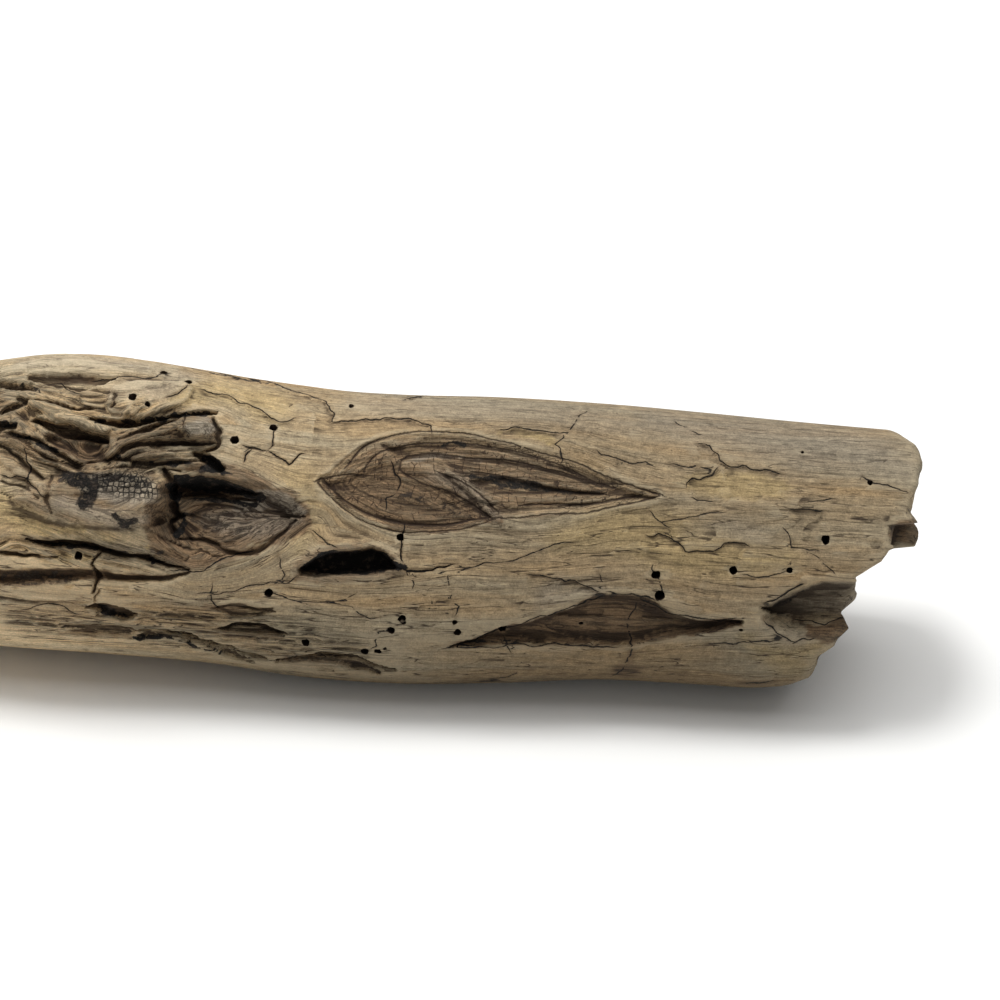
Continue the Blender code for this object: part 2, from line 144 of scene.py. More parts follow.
# %% [markdown]
# ## Hollows, knots and cracks of the face
#
# Rot and waves take the soft wood first. What they leave is drawn here as strokes, as with a brush: a
# course of (along, up, half width), a depth, and how wide its upper and lower slopes are. A depth below
# nought is wood that stands out. The two long lens shapes are knots, grown over where a branch was
# lost.

# %% Strokes on the face
HOLLOW = [(-90, 1, 14), (-85, 2, 13.5), (-80, 3.5, 11.5), (-73, 4.5, 10), (-66, 4, 8.5),
    (-61, 3.5, 6), (-56, 6, 0.5)]
HOLLOW_DEEP = [(-97, 9, 2.5), (-92, 10.5, 4), (-85, 11, 4), (-78, 11, 2.5), (-72, 10, 1)]
SLOT = [(-57, -11.5, 1.5), (-50.5, -10, 4), (-43, -8.5, 4), (-34.5, -8, 3), (-30.5, -9.5, 1)]
KNOT_RIGHT = [(-35, 26.5, 1.5), (-30, 24.5, 3.5), (-19, 25.5, 6), (-10, 22, 9), (-1, 18, 11.5),
    (8, 18.5, 11), (16, 18.5, 9.5), (25, 18, 7.5), (34, 16, 4), (45, 14.5, 0.5)]
KNOT_LEFT = [(-51, 14, 1.5), (-47, 13, 3.8), (-41, 12.5, 6), (-35, 12.5, 8.5), (-30, 11.5, 10),
    (-24, 11, 10), (-18, 10, 9), (-12, 9.5, 6.5), (-6, 7.5, 3), (0, 5.5, 0.5)]
KNOT_RIDGE = [(-16, 19.5, 1.5), (-9, 13.5, 2), (-3, 8, 1.5), (0, 6, 0.5)]
KNOT_HEART = [(-9, 16.5, 1), (-1, 16, 3), (6, 16, 2.5), (17, 16, 1.5), (29, 16, 0.5)]
PEEL = [(-12, -31.6, 0.3), (-6, -30.1, 1.1), (0, -28.5, 2), (8, -26.8, 3.2), (18, -24.9, 4.8),
    (25, -23.7, 5.7), (31, -21.6, 7.4), (42, -21.3, 7), (50, -22.5, 4), (60, -22.2, 2.2),
    (71, -20.3, 1)]
TORN_HOLLOW = [(76, -15, 0.5), (81, -17.5, 4.5), (87, -17.5, 7.5), (94, -15.5, 9), (102, -14.5, 9.5),
    (116, -13, 10)]
BOTH_KNOTS = [(-51.5, 14.5, 2), (-46, 14.3, 5), (-41, 14.7, 9.3), (-35.5, 15.6, 12.3),
    (-25, 16, 14.5), (-13.5, 16.7, 13.4), (-1.5, 18, 11.2), (10.5, 17, 9.2), (20.5, 16.8, 6.9),
    (28, 16, 4.8), (39, 15.6, 2.7), (44, 15.5, 1.6)]
BRANCH_FACE = [(-140, 4.5, 3), (-128, 5.5, 7.5), (-115, 7.5, 10.5), (-102, 7, 8)]
TWISTED_STUB = [(-115, 20.5, 4), (-105, 23.5, 4), (-96, 28, 4), (-89, 27.5, 4.5)]
STUB_KNOB = [(-92, 27, 4), (-87, 28, 4)]
STUB_VALLEY = [(-120, 29, 0.8), (-110, 28.5, 1.5), (-103, 30, 1), (-94, 32, 0.6), (-89, 33, 0.9),
    (-85, 33.5, 0.6)]
FLAKE = [(-113, 35.5, 4.5), (-105, 36.5, 5.5), (-96, 38.5, 4)]
TONGUE = [(-139, 33, 1.5), (-131, 31, 2.5), (-123, 28.5, 2.5), (-117, 26, 2)]
TONGUE_VALLEY = [(-137, 28, 1), (-130, 26, 2), (-122, 24, 1.5), (-116, 22.5, 1)]
BROWN_RECESS = [(-133, 22.5, 2.5), (-126, 21.5, 4), (-118, 21, 4)]
LOW_STRAND = [(-114, 17, 1.5), (-103, 19.5, 2.5), (-94, 17.5, 2), (-87, 17.5, 1)]
KNOB_GAP = [(-90, 20.5, 1), (-85, 19, 2), (-82, 16.5, 1.5)]
TOP_RECESS = [(-141, 41, 1), (-132, 41, 2), (-123, 41, 2), (-116, 42, 0.5)]
LEFT_RECESS = [(-152, 38.5, 1), (-143, 38.5, 1.5), (-138, 37.5, 0.5)]
LOW_LEFT_RECESS = [(-150, 26, 1), (-147, 26, 1.5), (-142, 26, 1)]
LEFT_SWIRL = [(-150, 23, 1), (-141, 22, 1), (-135, 17.5, 1), (-124, 14.5, 1)]
LONG_CRACK = [(-137, -7, 0.3), (-132, -7.5, 0.8), (-122, -8, 1.2), (-113, -8.8, 1), (-104, -10, 0.7),
    (-97, -12, 0.5), (-90, -13.5, 0.3)]
SHORT_CRACK = [(-150, -10.5, 0.4), (-144, -11, 0.7), (-135, -11.5, 0.6), (-128, -12.5, 0.3)]
DARK_GROOVE = [(-178, -19, 1.5), (-157, -19, 2.5), (-144, -18.5, 2.6), (-130, -17.2, 2.1),
    (-116, -16.5, 1.7), (-101, -16, 1.1), (-90, -14.5, 0.5)]
CROSS_CRACK = [(-116, -9.5, 0.5), (-118.5, -14, 0.5), (-117, -16.5, 1), (-117.5, -22, 0.5)]
STUB_CLIFF = [(-99, 15.5, 1), (-96, 11, 1.5), (-96.5, 7, 1.5), (-94, 2.5, 1.5), (-95.5, -2, 1)]
LOW_PITS = [(-119.5, -26, 0.2), (-115, -26, 1.6), (-110, -27.5, 1.9), (-105, -27.5, 0.2)]
LOW_SCOOP = [(-133, -32.5, 0.2), (-124, -34, 1.6), (-114, -33.5, 2.4), (-102, -33.5, 0.3)]
MIDDLE_PIT = [(-85, -24.5, 0.2), (-79, -25.5, 1.2), (-72, -25.5, 2), (-63, -24, 0.2)]
MIDDLE_SCOOP = [(-83, -31.5, 0.2), (-76, -30.5, 1.4), (-69, -30.5, 1.8), (-60, -31.5, 0.2)]
LOW_CRACK = [(-105, -33, 0.5), (-97, -32.5, 1), (-90, -34, 1), (-83, -36, 1), (-74, -38, 1),
    (-67, -38.5, 0.5)]
BOTTOM_RECESS = [(-64, -39, 0.5), (-51, -38, 1), (-40, -38, 1), (-33, -39.5, 1), (-29, -40, 0.5)]
print("the left knot is", KNOT_LEFT[-1][0] - KNOT_LEFT[0][0], "mm long")

# %% Torn strands at the left, each with its depth
TORN_STRANDS = [([(-139.5, 39, 1), (-132, 39, 1), (-124.5, 39, 1), (-118, 41, 0.5)], 2.0),
    ([(-146.5, 24.5, 1), (-141.5, 23.5, 1), (-136, 21.5, 1), (-130, 18, 1), (-123, 15.5, 0.5)], 3.0),
    ([(-146, 19.5, 0.5), (-142.5, 17, 0.5), (-138, 13.5, 1), (-134, 10.5, 0.5)], 2.0),
    ([(-115, 18, 0.5), (-109, 21, 1), (-102, 22.5, 1), (-92, 23.5, 1), (-84.5, 25, 0.5)], 3.0),
    ([(-85.5, 31.5, 0.5), (-83, 27, 1), (-84, 23.5, 1), (-88, 21.5, 0.5)], 3.5), ([(-94.5, 30.5, 0.5),
    (-94.5, 27.5, 0.5), (-92.5, 25, 0.5)], 2.0), ([(-112.5, 22.5, 0.5), (-106.5, 25.5, 1),
    (-101, 28.5, 1), (-96, 31, 0.5)], 2.5), ([(-110.5, 20, 0.5), (-103.5, 23.5, 0.6),
    (-96.5, 26.5, 0.5)], 1.6), ([(-121.5, 16.5, 0.5), (-113, 18, 0.6), (-103, 17.5, 1),
    (-94, 17.5, 1), (-87, 19, 0.5)], 2.4), ([(-118.5, 14.5, 0.5), (-108.5, 16, 0.5), (-100, 16, 0.5),
    (-94, 15, 0.5)], 1.6), ([(-131.5, 11.5, 0.5), (-132, 6.5, 1), (-130, 1.5, 0.5)], 1.6),
    ([(-125, 38.5, 0.5), (-119.5, 37.5, 0.5), (-114.5, 36.5, 0.5), (-115.5, 34, 0.5)], 1.8),
    ([(-143, 34.5, 1), (-138.5, 34, 0.6), (-132.5, 33.5, 0.6), (-125, 33, 0.6),
    (-119, 33.5, 0.5)], 2.6), ([(-147.5, 30.5, 1), (-144, 32, 1), (-140.5, 33.5, 1)], 3.0),
    ([(-145.5, 10.5, 0.5), (-140, 8.5, 0.6), (-134, 5.5, 0.5)], 1.4), ([(-145.5, 6.5, 0.5),
    (-140.5, 4.5, 0.5), (-135.5, 2.5, 0.5)], 1.2), ([(-94, 8, 0.5), (-88, 9.5, 1), (-80.5, 9, 1),
    (-72.5, 8, 0.5)], 2.5), ([(-90.5, 5, 0.5), (-83.5, 6.5, 0.6), (-75.5, 5.5, 0.5)], 1.2),
    ([(-93, -4.5, 0.5), (-85.5, -5.5, 1), (-77, -7.5, 1), (-71, -6, 1), (-65.5, -2.5, 1),
    (-59.5, 3, 0.5)], 2.0), ([(-91, -11, 0.5), (-87, -8, 0.6), (-82, -9, 0.6), (-75.5, -7, 0.6),
    (-69, -3.5, 0.6), (-62.5, 0, 0.5)], 1.3), ([(-146.5, 21.5, 1.5), (-141, 20.5, 1.5),
    (-135, 18, 1.5), (-129, 15, 1.5), (-123.5, 13, 1)], -1.6), ([(-106.5, 27.5, 1), (-101, 29.5, 1),
    (-96, 32, 1)], -1.5), ([(-111.5, 17, 1), (-103, 19.5, 1), (-94.5, 20, 1),
    (-87.5, 21.5, 1)], -1.2), ([(-149, 42, 1.5), (-139.5, 45.5, 2), (-127.5, 46.5, 2), (-118, 45, 2),
    (-106.5, 44.5, 1.5)], -0.8), ([(-124, 37.5, 1.5), (-117, 38.5, 2), (-108, 39, 2),
    (-102, 40, 1)], -0.8), ([(-145.5, 15.5, 1.5), (-140.5, 13, 1.5), (-135, 9.5, 1.5),
    (-131.5, 7.5, 1)], -1.0), ([(-145, -25, 1), (-133.5, -25, 1), (-117.5, -24.5, 0.5)], 0.9),
    ([(-116, -21, 0.5), (-116.5, -25, 0.5), (-116, -28.5, 0.5)], 1.5), ([(-128, -32.5, 0.5),
    (-118, -32.5, 1), (-107.5, -32.5, 0.5)], 1.4), ([(-106, -35, 0.5), (-97, -33.5, 1), (-90, -34, 1),
    (-83, -36.5, 1), (-79.5, -38.5, 1), (-72, -40, 0.5)], 2.5), ([(-82, -24.5, 0.5), (-75, -23.5, 1),
    (-68.5, -24.5, 0.5), (-64.5, -23.5, 0.5)], 1.8), ([(-80, -31, 0.5), (-73.5, -29, 1),
    (-66, -30.5, 1), (-62.5, -32, 0.5)], 2.0), ([(-57, -38.5, 0.5), (-49.5, -37.5, 1),
    (-42.5, -39, 1), (-33.5, -41, 0.5)], 2.2)]

# The lines that each year's growth left round the knots.
KNOT_LINES = [[(-45.5, 19), (-41, 25.5), (-35.5, 28.5), (-25, 31), (-13.5, 30.5), (-1.5, 29.5),
    (10.5, 26.5), (20.5, 24), (28, 21), (40, 17.5), (46, 15.5)], [(-40, 18.5), (-37, 23), (-30.5, 26),
    (-19, 27.5), (-7.5, 27.5), (4.5, 26), (16.5, 23), (25.5, 19), (32.5, 17.5)], [(-30, 19),
    (-29.5, 22), (-23, 24), (-10, 23.5), (4.5, 23), (16.5, 21), (28.5, 17.5)], [(-53.5, 14.5),
    (-50.5, 15.5), (-44.5, 17), (-39, 16.5)], [(-53.5, 14.5), (-48.5, 9.5), (-41, 4), (-30.5, 1),
    (-20.5, 1.5), (-9, 3.5), (1, 7)], [(-51, 14.5), (-45.5, 9.5), (-39, 6), (-29.5, 3.5),
    (-17.5, 3.5), (-6, 6), (-0.5, 6.5)], [(-30, 19), (-24, 16.5), (-17, 14), (-9.5, 10), (-1, 6)],
    [(1, 6.5), (11, 7.5), (20, 9.5), (28.5, 11), (37.5, 13), (46, 15.5)], [(-18.5, 19), (-12.5, 16.5),
    (-6.5, 13), (-0.5, 8.5)], [(-9, 19.5), (2, 18.5), (14, 16.5), (30, 15.5)], [(6, 10.5), (18, 12),
    (30, 13.5), (40, 15.5)]]

# %% Strokes on the back
BACK_KNOT = [(-82, 6, 0.5), (-70, 8, 6), (-56, 9, 11), (-44, 7, 12), (-32, 5, 9), (-20, 4, 4),
    (-8, 4, 0.5)]
BACK_GROOVE = [(-172, 20, 0.5), (-140, 22, 2.5), (-104, 19, 3), (-66, 24, 2), (-30, 22, 0.5)]
BACK_CHECK = [(-20, -9, 0.5), (10, -8, 1.5), (44, -11, 1.5), (82, -8, 1), (118, -10, 1.5)]
BACK_PEEL = [(10, 19, 0.5), (24, 20, 4), (46, 17, 6), (66, 19, 3), (80, 20, 0.5)]
BACK_SCOOP = [(-158, 2, 3), (-146, 4, 7), (-130, 2, 8), (-114, -1, 5)]
BACK_LOW_GROOVE = [(-160, -16, 0.5), (-120, -19, 2), (-86, -17, 2.5), (-58, -20, 0.5)]


# %% Cutting a stroke
def inside_stroke(course, along, up):
    """How far inside the stroke's edge each place lies, and how far above its line."""
    deepest = np.full(len(along), -1e3)
    side = np.zeros(len(along))
    for (x0, y0, w0), (x1, y1, w1) in zip(course, course[1:]):
        reach = max(w0, w1) + 10
        near = (along > min(x0, x1) - reach) & (along < max(x0, x1) + reach)
        near = np.flatnonzero(near & (up > min(y0, y1) - reach) & (up < max(y0, y1) + reach))
        x, y = along[near] - x0, up[near] - y0
        run_x, run_y = x1 - x0, y1 - y0
        length = math.hypot(run_x, run_y)
        share = np.clip((x * run_x + y * run_y) / length**2, 0, 1)
        inside = w0 + share * (w1 - w0) - np.hypot(x - share * run_x, y - share * run_y)
        nearer = inside > deepest[near]
        chosen = near[nearer]
        deepest[chosen] = inside[nearer]
        side[chosen] = (run_x * y[nearer] - run_y * x[nearer]) / length
    return deepest, side


def groove(course, depth, upper_slope, lower_slope, along, up):
    """The depth of one hollow at each place."""
    inside, side = inside_stroke(course, along, up)
    slope = np.where(side > 0, upper_slope, lower_slope)
    share = np.clip(inside / slope, 0, 1)
    crisp = upper_slope < 2 and depth > 1.3
    return depth * (share * (2 - share) if crisp else ease(share))


def narrowed(course, share):
    return [(along, up, width * share) for along, up, width in course]


def widened(course, extra):
    return [(along, up, width + extra) for along, up, width in course]


# %% How deep each stroke is
KNOT_CUTS = [(widened(BOTH_KNOTS, 3), -0.5, 3, 3), (BOTH_KNOTS, 0.7, 1, 1),
    (KNOT_RIGHT, 1.5, 2.6, 2.6), (narrowed(KNOT_RIGHT, 0.62), 1.2, 2.6, 2.6),
    (KNOT_HEART, 1.8, 1.8, 1.8), (KNOT_LEFT, 1.4, 2.6, 2.6),
    (narrowed(KNOT_LEFT, 0.6), 1.1, 2.6, 2.6), (KNOT_RIDGE, -1.4, 2, 2)]
FACE_CUTS = [
    (HOLLOW, 6, 7, 13), (HOLLOW_DEEP, 8, 2.5, 4), (widened(SLOT, 4), -1.2, 4, 4), (SLOT, 10, 1.4, 2.4),
    (PEEL, 4, 0.9, 2.5), (TORN_HOLLOW, 9.5, 3.5, 8), (BRANCH_FACE, -5, 4, 5), (TWISTED_STUB, -4, 4, 3),
    (STUB_KNOB, -2.5, 3, 3), (STUB_VALLEY, 5, 1.2, 1.2), (FLAKE, -1.5, 1.5, 1.2), (TONGUE, -3, 1.5, 1.5),
    (TONGUE_VALLEY, 5, 1, 1), (BROWN_RECESS, 3, 2, 2), (LOW_STRAND, -1.5, 1.2, 1.2), (KNOB_GAP, 5, 1, 1),
    (TOP_RECESS, 3, 0.9, 0.9), (LEFT_RECESS, 3, 0.9, 0.9), (LOW_LEFT_RECESS, 3, 1, 1),
    (LEFT_SWIRL, 2.5, 1, 1), (LONG_CRACK, 5, 0.9, 0.9), (SHORT_CRACK, 3, 0.9, 0.9),
    (DARK_GROOVE, 3.2, 1.5, 1.8), (CROSS_CRACK, 3, 0.8, 0.8), (STUB_CLIFF, 5, 1.5, 1.5), (LOW_PITS, 3, 1, 1),
    (LOW_SCOOP, 2.5, 2, 2), (MIDDLE_PIT, 1.5, 1, 1), (MIDDLE_SCOOP, 2.5, 1.2, 1.2),
    (LOW_CRACK, 4, 0.8, 0.8), (BOTTOM_RECESS, 3, 0.8, 0.8),
] + [(course, depth, 1.0, 1.0) for course, depth in TORN_STRANDS]
BACK_CUTS = [(widened(BACK_KNOT, 3), -1, 3, 3), (BACK_KNOT, 2.4, 3, 3),
    (narrowed(BACK_KNOT, 0.6), 2, 2.6, 2.6), (narrowed(BACK_KNOT, 0.25), 2.2, 2.4, 2.4),
    (BACK_GROOVE, 4, 2.6, 3), (BACK_CHECK, 4, 2.4, 2.4), (BACK_PEEL, 3, 2.4, 4),
    (BACK_SCOOP, 4.5, 5, 4), (BACK_LOW_GROOVE, 3.5, 2.6, 2.6)]


def cut_depth(cuts, along, up):
    return sum(groove(flowing(course), *form, along, up) for course, *form in cuts)


print(len(FACE_CUTS), "strokes on the face and", len(BACK_CUTS), "on the back")

# %% [markdown]
# ## Fine cracks and flaked layers
#
# As the sapwood dries it splits into hair cracks, some along the grain and some across it, and thin
# layers lift off, each with a crisp edge. The solid leaves these out. Here they are lines of (along,
# up). An open crack is a narrow cut with tapered tips. A flaked layer is a small step down on the
# right-hand side of its line, looking along it. The hair cracks are too fine to cut, so the finish
# draws them later.

# %% Flaked layers
LAYER_EDGES = [[(-98.5, 47), (-86.5, 45), (-70, 43), (-65.5, 42), (-58.5, 40), (-53.5, 38),
    (-51.5, 35), (-51.5, 32.5), (-47, 32.5), (-42, 33.5), (-34.5, 34.5), (-28.5, 34.5), (-24.5, 33),
    (-22, 32.5), (-21.5, 29.5)], [(-91.5, 39.5), (-85.5, 38.5), (-82, 38), (-78, 36), (-75.5, 35.5),
    (-72.5, 34.5), (-68.5, 32), (-64, 32), (-61, 33)], [(-2.5, 32.5), (2.5, 33.5), (11, 33),
    (17, 32)], [(56, 32), (60, 31), (62.5, 29), (63.5, 27), (66.5, 25.5), (72.5, 25), (78.5, 24.5),
    (82, 24)], [(53, 18), (53, 20), (55, 21.5), (59, 21.5), (60.5, 23), (63, 25)], [(62, 15),
    (58, 15.5), (54.5, 16)], [(41.5, 3.5), (48, 4), (52, 2.5), (54, 0.5), (58.5, 0), (62.5, 0),
    (65.5, 2.5), (70.5, 3.5), (73, 2)], [(-137.5, 38), (-131.5, 39), (-128, 37), (-124, 37)],
    [(-100.5, 36.5), (-96.5, 38), (-95, 39.5), (-94.5, 41.5)], [(83.5, 14), (89.5, 14), (94.5, 14)],
    [(-146, 12), (-138, 10), (-131, 6)], [(8, -9), (14, -9.5), (22, -10.5), (30, -13.5)]]

# %% Open cracks
OPEN_CRACKS = [[(-33, -8.5), (-27, -9.5), (-23.5, -10), (-21, -9.5), (-16.5, -8.5), (-12.5, -7.5)],
    [(-68, 30), (-68.5, 27.5), (-68.5, 25), (-69.5, 23)], [(-33, 22.5), (-32, 17.5), (-30.5, 16),
    (-30.5, 12.5)], [(-28, 4.5), (-28.5, 1.5), (-29, -0.5), (-28.5, -4.5), (-27.5, -8)], [(78, -14),
    (81.5, -12.5), (85.5, -9.5), (89.5, -7.5)], [(-31, 41), (-24.5, 41.5)], [(-69.5, 23),
    (-73.5, 23.5), (-77.5, 24)], [(-69.5, 23), (-66, 20.5), (-62.5, 19), (-60.5, 21), (-58, 22.5)],
    [(-73.5, 23.5), (-75.5, 21), (-76, 18)]]

# %% Hair cracks
HAIR_CRACKS = [[(-12.5, -7.5), (-11.5, -8.5), (-8, -8), (-3, -6), (3, -5.5), (8, -3.5), (12, -1.5),
    (16.5, 0), (20.5, 1), (22.5, 1)], [(-58, -12.5), (-61, -15), (-67.5, -16), (-74.5, -17.5),
    (-79, -19), (-88, -20)], [(24, 40), (21, 37.5), (18.5, 34), (17, 30.5), (14.5, 28.5),
    (16.5, 27.5), (16.5, 24), (15.5, 22.5)], [(49, 38), (54, 36), (57.5, 34), (59, 31.5)],
    [(62, -27.5), (69.5, -26.5), (78.5, -25.5), (84, -24.5)], [(-16, -32.5), (-12, -31.5), (-6, -29),
    (0, -26.5), (8, -23.5), (18, -20), (25, -18), (31, -14)], [(42, -14), (50, -18.5), (60, -20),
    (71, -19)], [(-16, -32.5), (-4, -31), (8, -30), (24, -29.5), (38, -29)], [(-96, -13.5),
    (-90, -14.5), (-85, -13), (-80, -9.5), (-76, -7.5), (-70, -6.5)], [(-30.5, 12.5), (-34, 11),
    (-34, 6.5)], [(-66.5, -19), (-61, -19.5), (-54, -21.5), (-49.5, -20.5), (-45.5, -21.5),
    (-43.5, -19), (-41, -17)], [(-42.5, -20.5), (-40.5, -23), (-36.5, -25), (-34, -24.5)],
    [(-30, -27.5), (-34, -29), (-34.5, -32.5), (-36.5, -34.5)], [(26.5, 28), (29, 26.5), (33, 26),
    (38, 25), (42, 25), (45, 23.5)], [(33, 26), (33, 23)], [(47.5, 25.5), (53, 25), (57.5, 25)],
    [(42, 11.5), (44, 9), (48, 6.5), (49.5, 5.5)], [(47.5, 8), (51, 9), (56.5, 10.5), (61, 11.5),
    (66, 12.5)], [(45, -4), (44.5, -6.5), (46, -7.5), (48, -10.5), (48, -13.5)], [(31, -13),
    (34, -13.5), (42, -13.5), (46.5, -14.5)], [(29, -7), (29.5, -9.5), (31.5, -12.5)], [(-14, -9.5),
    (-13.5, -18.5), (-10.5, -19.5), (-12, -23.5)], [(-10.5, -44), (-6.5, -42), (3, -41),
    (7.5, -38.5)], [(86.5, 16), (92.5, 17), (98.5, 17.5)], [(104.5, 24.5), (107.5, 23), (112, 22),
    (119.5, 21)], [(70, -6.5), (74.5, -7), (79.5, -6), (85, -4.5)], [(85, -0.5), (85, -3.5)],
    [(82, 9), (84.5, 6), (85, 3), (89, 2), (94, 2)], [(62, -27.5), (63, -29.5)], [(78.5, -19),
    (84, -23.5), (87.5, -25.5), (95, -23)], [(87, -18), (96.5, -19), (103, -17)], [(73, -38.5),
    (79, -38.5), (84.5, -37.5)], [(-123, 40), (-111.5, 42.5), (-103, 43), (-102.5, 45)], [(41, -15),
    (39, -22), (40.5, -30), (38, -36), (35, -39)], [(-27, -9.5), (-24, -13), (-24.5, -16)], [(2, -27),
    (3, -31), (5, -33.5)], [(-138, 8), (-137, 14), (-139.5, 20)], [(-140, -28), (-131, -25),
    (-126, -26), (-122, -29)], [(-83, -15.5), (-83.5, -21), (-80, -24)], [(-64, -8), (-62, -13),
    (-64, -16)], [(99, -5), (96, -2), (90, 1)], [(-20, -14.5), (-19, -20), (-22, -24)], [(-56, 0),
    (-50, -3), (-47, -4.5)]]
BACK_CRACKS = [[(-168, 12), (-150, 14), (-132, 11), (-118, 13)], [(-100, 8), (-92, 12), (-84, 9)],
    [(-8, 4), (8, 6), (22, 3), (40, 5), (58, 3)], [(-74, -12), (-60, -14), (-42, -11), (-26, -13)],
    [(10, 30), (28, 28), (48, 31), (70, 29)], [(92, 2), (94, 10), (90, 17), (95, 26)], [(-46, 24),
    (-44, 18), (-47, 12)], [(-128, 8), (-126, 0), (-130, -8), (-127, -14)], [(60, -22), (78, -24),
    (98, -21)], [(-150, -26), (-128, -28), (-104, -25), (-88, -28)]]
print(len(LAYER_EDGES), "layer edges,", len(OPEN_CRACKS), "open cracks,", len(HAIR_CRACKS), "hair cracks")


# %% How near a place is to a line
def nearest_line(lines, along, up, reach):
    """The distance to the nearest line, above nought on its left, and a taper that is nought at its tips."""
    signed = np.full(len(along), float(reach))
    taper = np.zeros(len(along))
    for course in lines:
        points = np.array(course, float)
        lengths = np.hypot(*np.diff(points, axis=0).T)
        walked = np.concatenate([[0], np.cumsum(lengths)])
        for (x0, y0), (x1, y1), length, start in zip(points, points[1:], lengths, walked):
            near = (along > min(x0, x1) - reach) & (along < max(x0, x1) + reach)
            near = np.flatnonzero(near & (up > min(y0, y1) - reach) & (up < max(y0, y1) + reach))
            x, y = along[near] - x0, up[near] - y0
            share = np.clip((x * (x1 - x0) + y * (y1 - y0)) / length**2, 0, 1)
            off = np.hypot(x - share * (x1 - x0), y - share * (y1 - y0))
            left = np.where((x1 - x0) * y - (y1 - y0) * x > 0, 1, -1)
            nearer = off < np.abs(signed[near])
            chosen = near[nearer]
            signed[chosen] = (off * left)[nearer]
            on_line = start + share * length
            taper[chosen] = ease(0.12 + np.minimum(on_line, walked[-1] - on_line) / 3)[nearer]
    return signed, taper


# %% [markdown]
# ## Which way the grain runs
#
# The fibres run along the log and bend round whatever was in their way, as water does round a stone.
# For each place, `across_grain` gives how far off the axis its fibre starts out. All the texture of the
# wood, in the mesh and in the material, is stretched along these fibres, so that it parts round the
# knots.

# %% Fibres that part round a knot
# Each is: middle along, middle up, half length, half height.
IN_THE_WAY = [(7, 18.5, 30, 11), (-28, 11.5, 19, 9), (-82, 3, 28, 13), (-43, -9, 16, 4.5),
    (-92, 27, 13, 6), (-112, 6, 22, 10), (36, -21, 22, 5)]
FIBRE_SETTLES = 9.0
BENT_STRANDS = [[(-190, 27, 6), (-175, 27.5, 6), (-162, 27, 5), (-150, 26.5, 4), (-141, 23.5, 5),
    (-133, 19, 5), (-124, 14.5, 4), (-114, 13, 1.5)], [(-118, 17.5, 2), (-106, 23.5, 5.5),
    (-95, 29, 5.5), (-86, 29, 4)], [(-142, 34.5, 2.5), (-131, 31, 3.5), (-122, 28, 3.5),
    (-115, 26, 2.5)], [(-100, -4, 1.5), (-88, -9, 3.5), (-76, -8, 3.5), (-66, -3, 3.5), (-56, 5, 2)],
    [(-97, 15, 1.5), (-84, 14.5, 3.5), (-72, 12, 3.5), (-60, 8, 2)], [(-139, -6, 1.5),
    (-122, -7.5, 2.5), (-104, -10, 2.5), (-90, -14, 1.5)]]


def across_grain(along, up):
    """How far off the axis the fibre at each place starts out, before it bends."""
    across = up.copy()
    for middle_along, middle_up, half_length, half_height in IN_THE_WAY:
        off = across - middle_up
        pushed = half_height * np.exp(-((along - middle_along) / half_length) ** 2)
        beyond = np.maximum(np.abs(off) - pushed, 0)
        across -= np.sign(off) * pushed * np.exp(-beyond / FIBRE_SETTLES)
    for strand in BENT_STRANDS:
        course = flowing(strand)
        rise = np.interp(along, [a for a, _, _ in course], [u for _, u, _ in course])
        middle = np.mean([u for _, u, _ in strand])
        across -= (rise - middle) * ease(1 + inside_stroke(course, along, up)[0] / FIBRE_SETTLES)
    return across


# %% [markdown]
# ## The skin of the log
#
# Round the log, each place starts on a plain oval and is pushed inwards: by the strokes, by slow
# swells, by ridges of hard late wood, by thin flaked plates and by the open cracks. The ridges and
# plates are random values stretched along the grain, because soft early wood wears away between the
# hard lines.

# %% The plain cross-section
OUTLINE_WARP, WARP_SIZE = 1.1, (12, 8, 12)
SWELL, GRAIN_RIDGES, BACK_FLUTES = 1.1, 0.7, 2.4
FACE_FADE = 0.25
INWARD_TURN = 0.45


def section(along):
    """The middle of the cross-section as (up, front), and its half height and half depth."""
    top = smooth_line(TOP_LINE, along)
    bottom = smooth_line(BOTTOM_LINE, along)
    half_height = (top - bottom) / 2
    half_depth = half_height * smooth_line(DEPTH_SHARE, along)
    return (top + bottom) / 2, smooth_line(AXIS_FORWARD, along), half_height, half_depth


def warped(places):
    """Where each place looks for its strokes, along and up, so that no edge is quite smooth."""
    along = places[:, 0] + OUTLINE_WARP * cloud(places, WARP_SIZE, seed=1)
    return along, places[:, 1] + 0.7 * OUTLINE_WARP * cloud(places, WARP_SIZE, seed=2)


def knot_inside(along, up):
    """How far inside the edge of a knot of the face each place lies."""
    return inside_stroke(flowing(BOTH_KNOTS), along, up)[0]


# %% Fine relief
CRACK_WANDER, CRACK_DEEP, CRACK_HALF_WIDTH = 0.7, 0.65, 0.5
PLATE_THICK, PLATES_LOW = 0.24, 0.34
TORN_DEEP = 1.4
RING_STEP, RING_EVERY = 0.25, 1.7
KNOT_LINE_DEEP, KNOT_LINE_HALF_WIDTH = 0.5, 0.9
LAYER_THICK, FLAKE_DEEP = 1.3, 0.6
CHECK_EVERY = 2.4


def wander(places, seed):
    """A small sideways shift that makes a drawn line ragged."""
    coarse, fine = cloud(places, (6, 6, 6), seed), cloud(places, (2.2, 2.2, 2.2), seed + 1)
    return CRACK_WANDER * (coarse + 0.8 * fine)


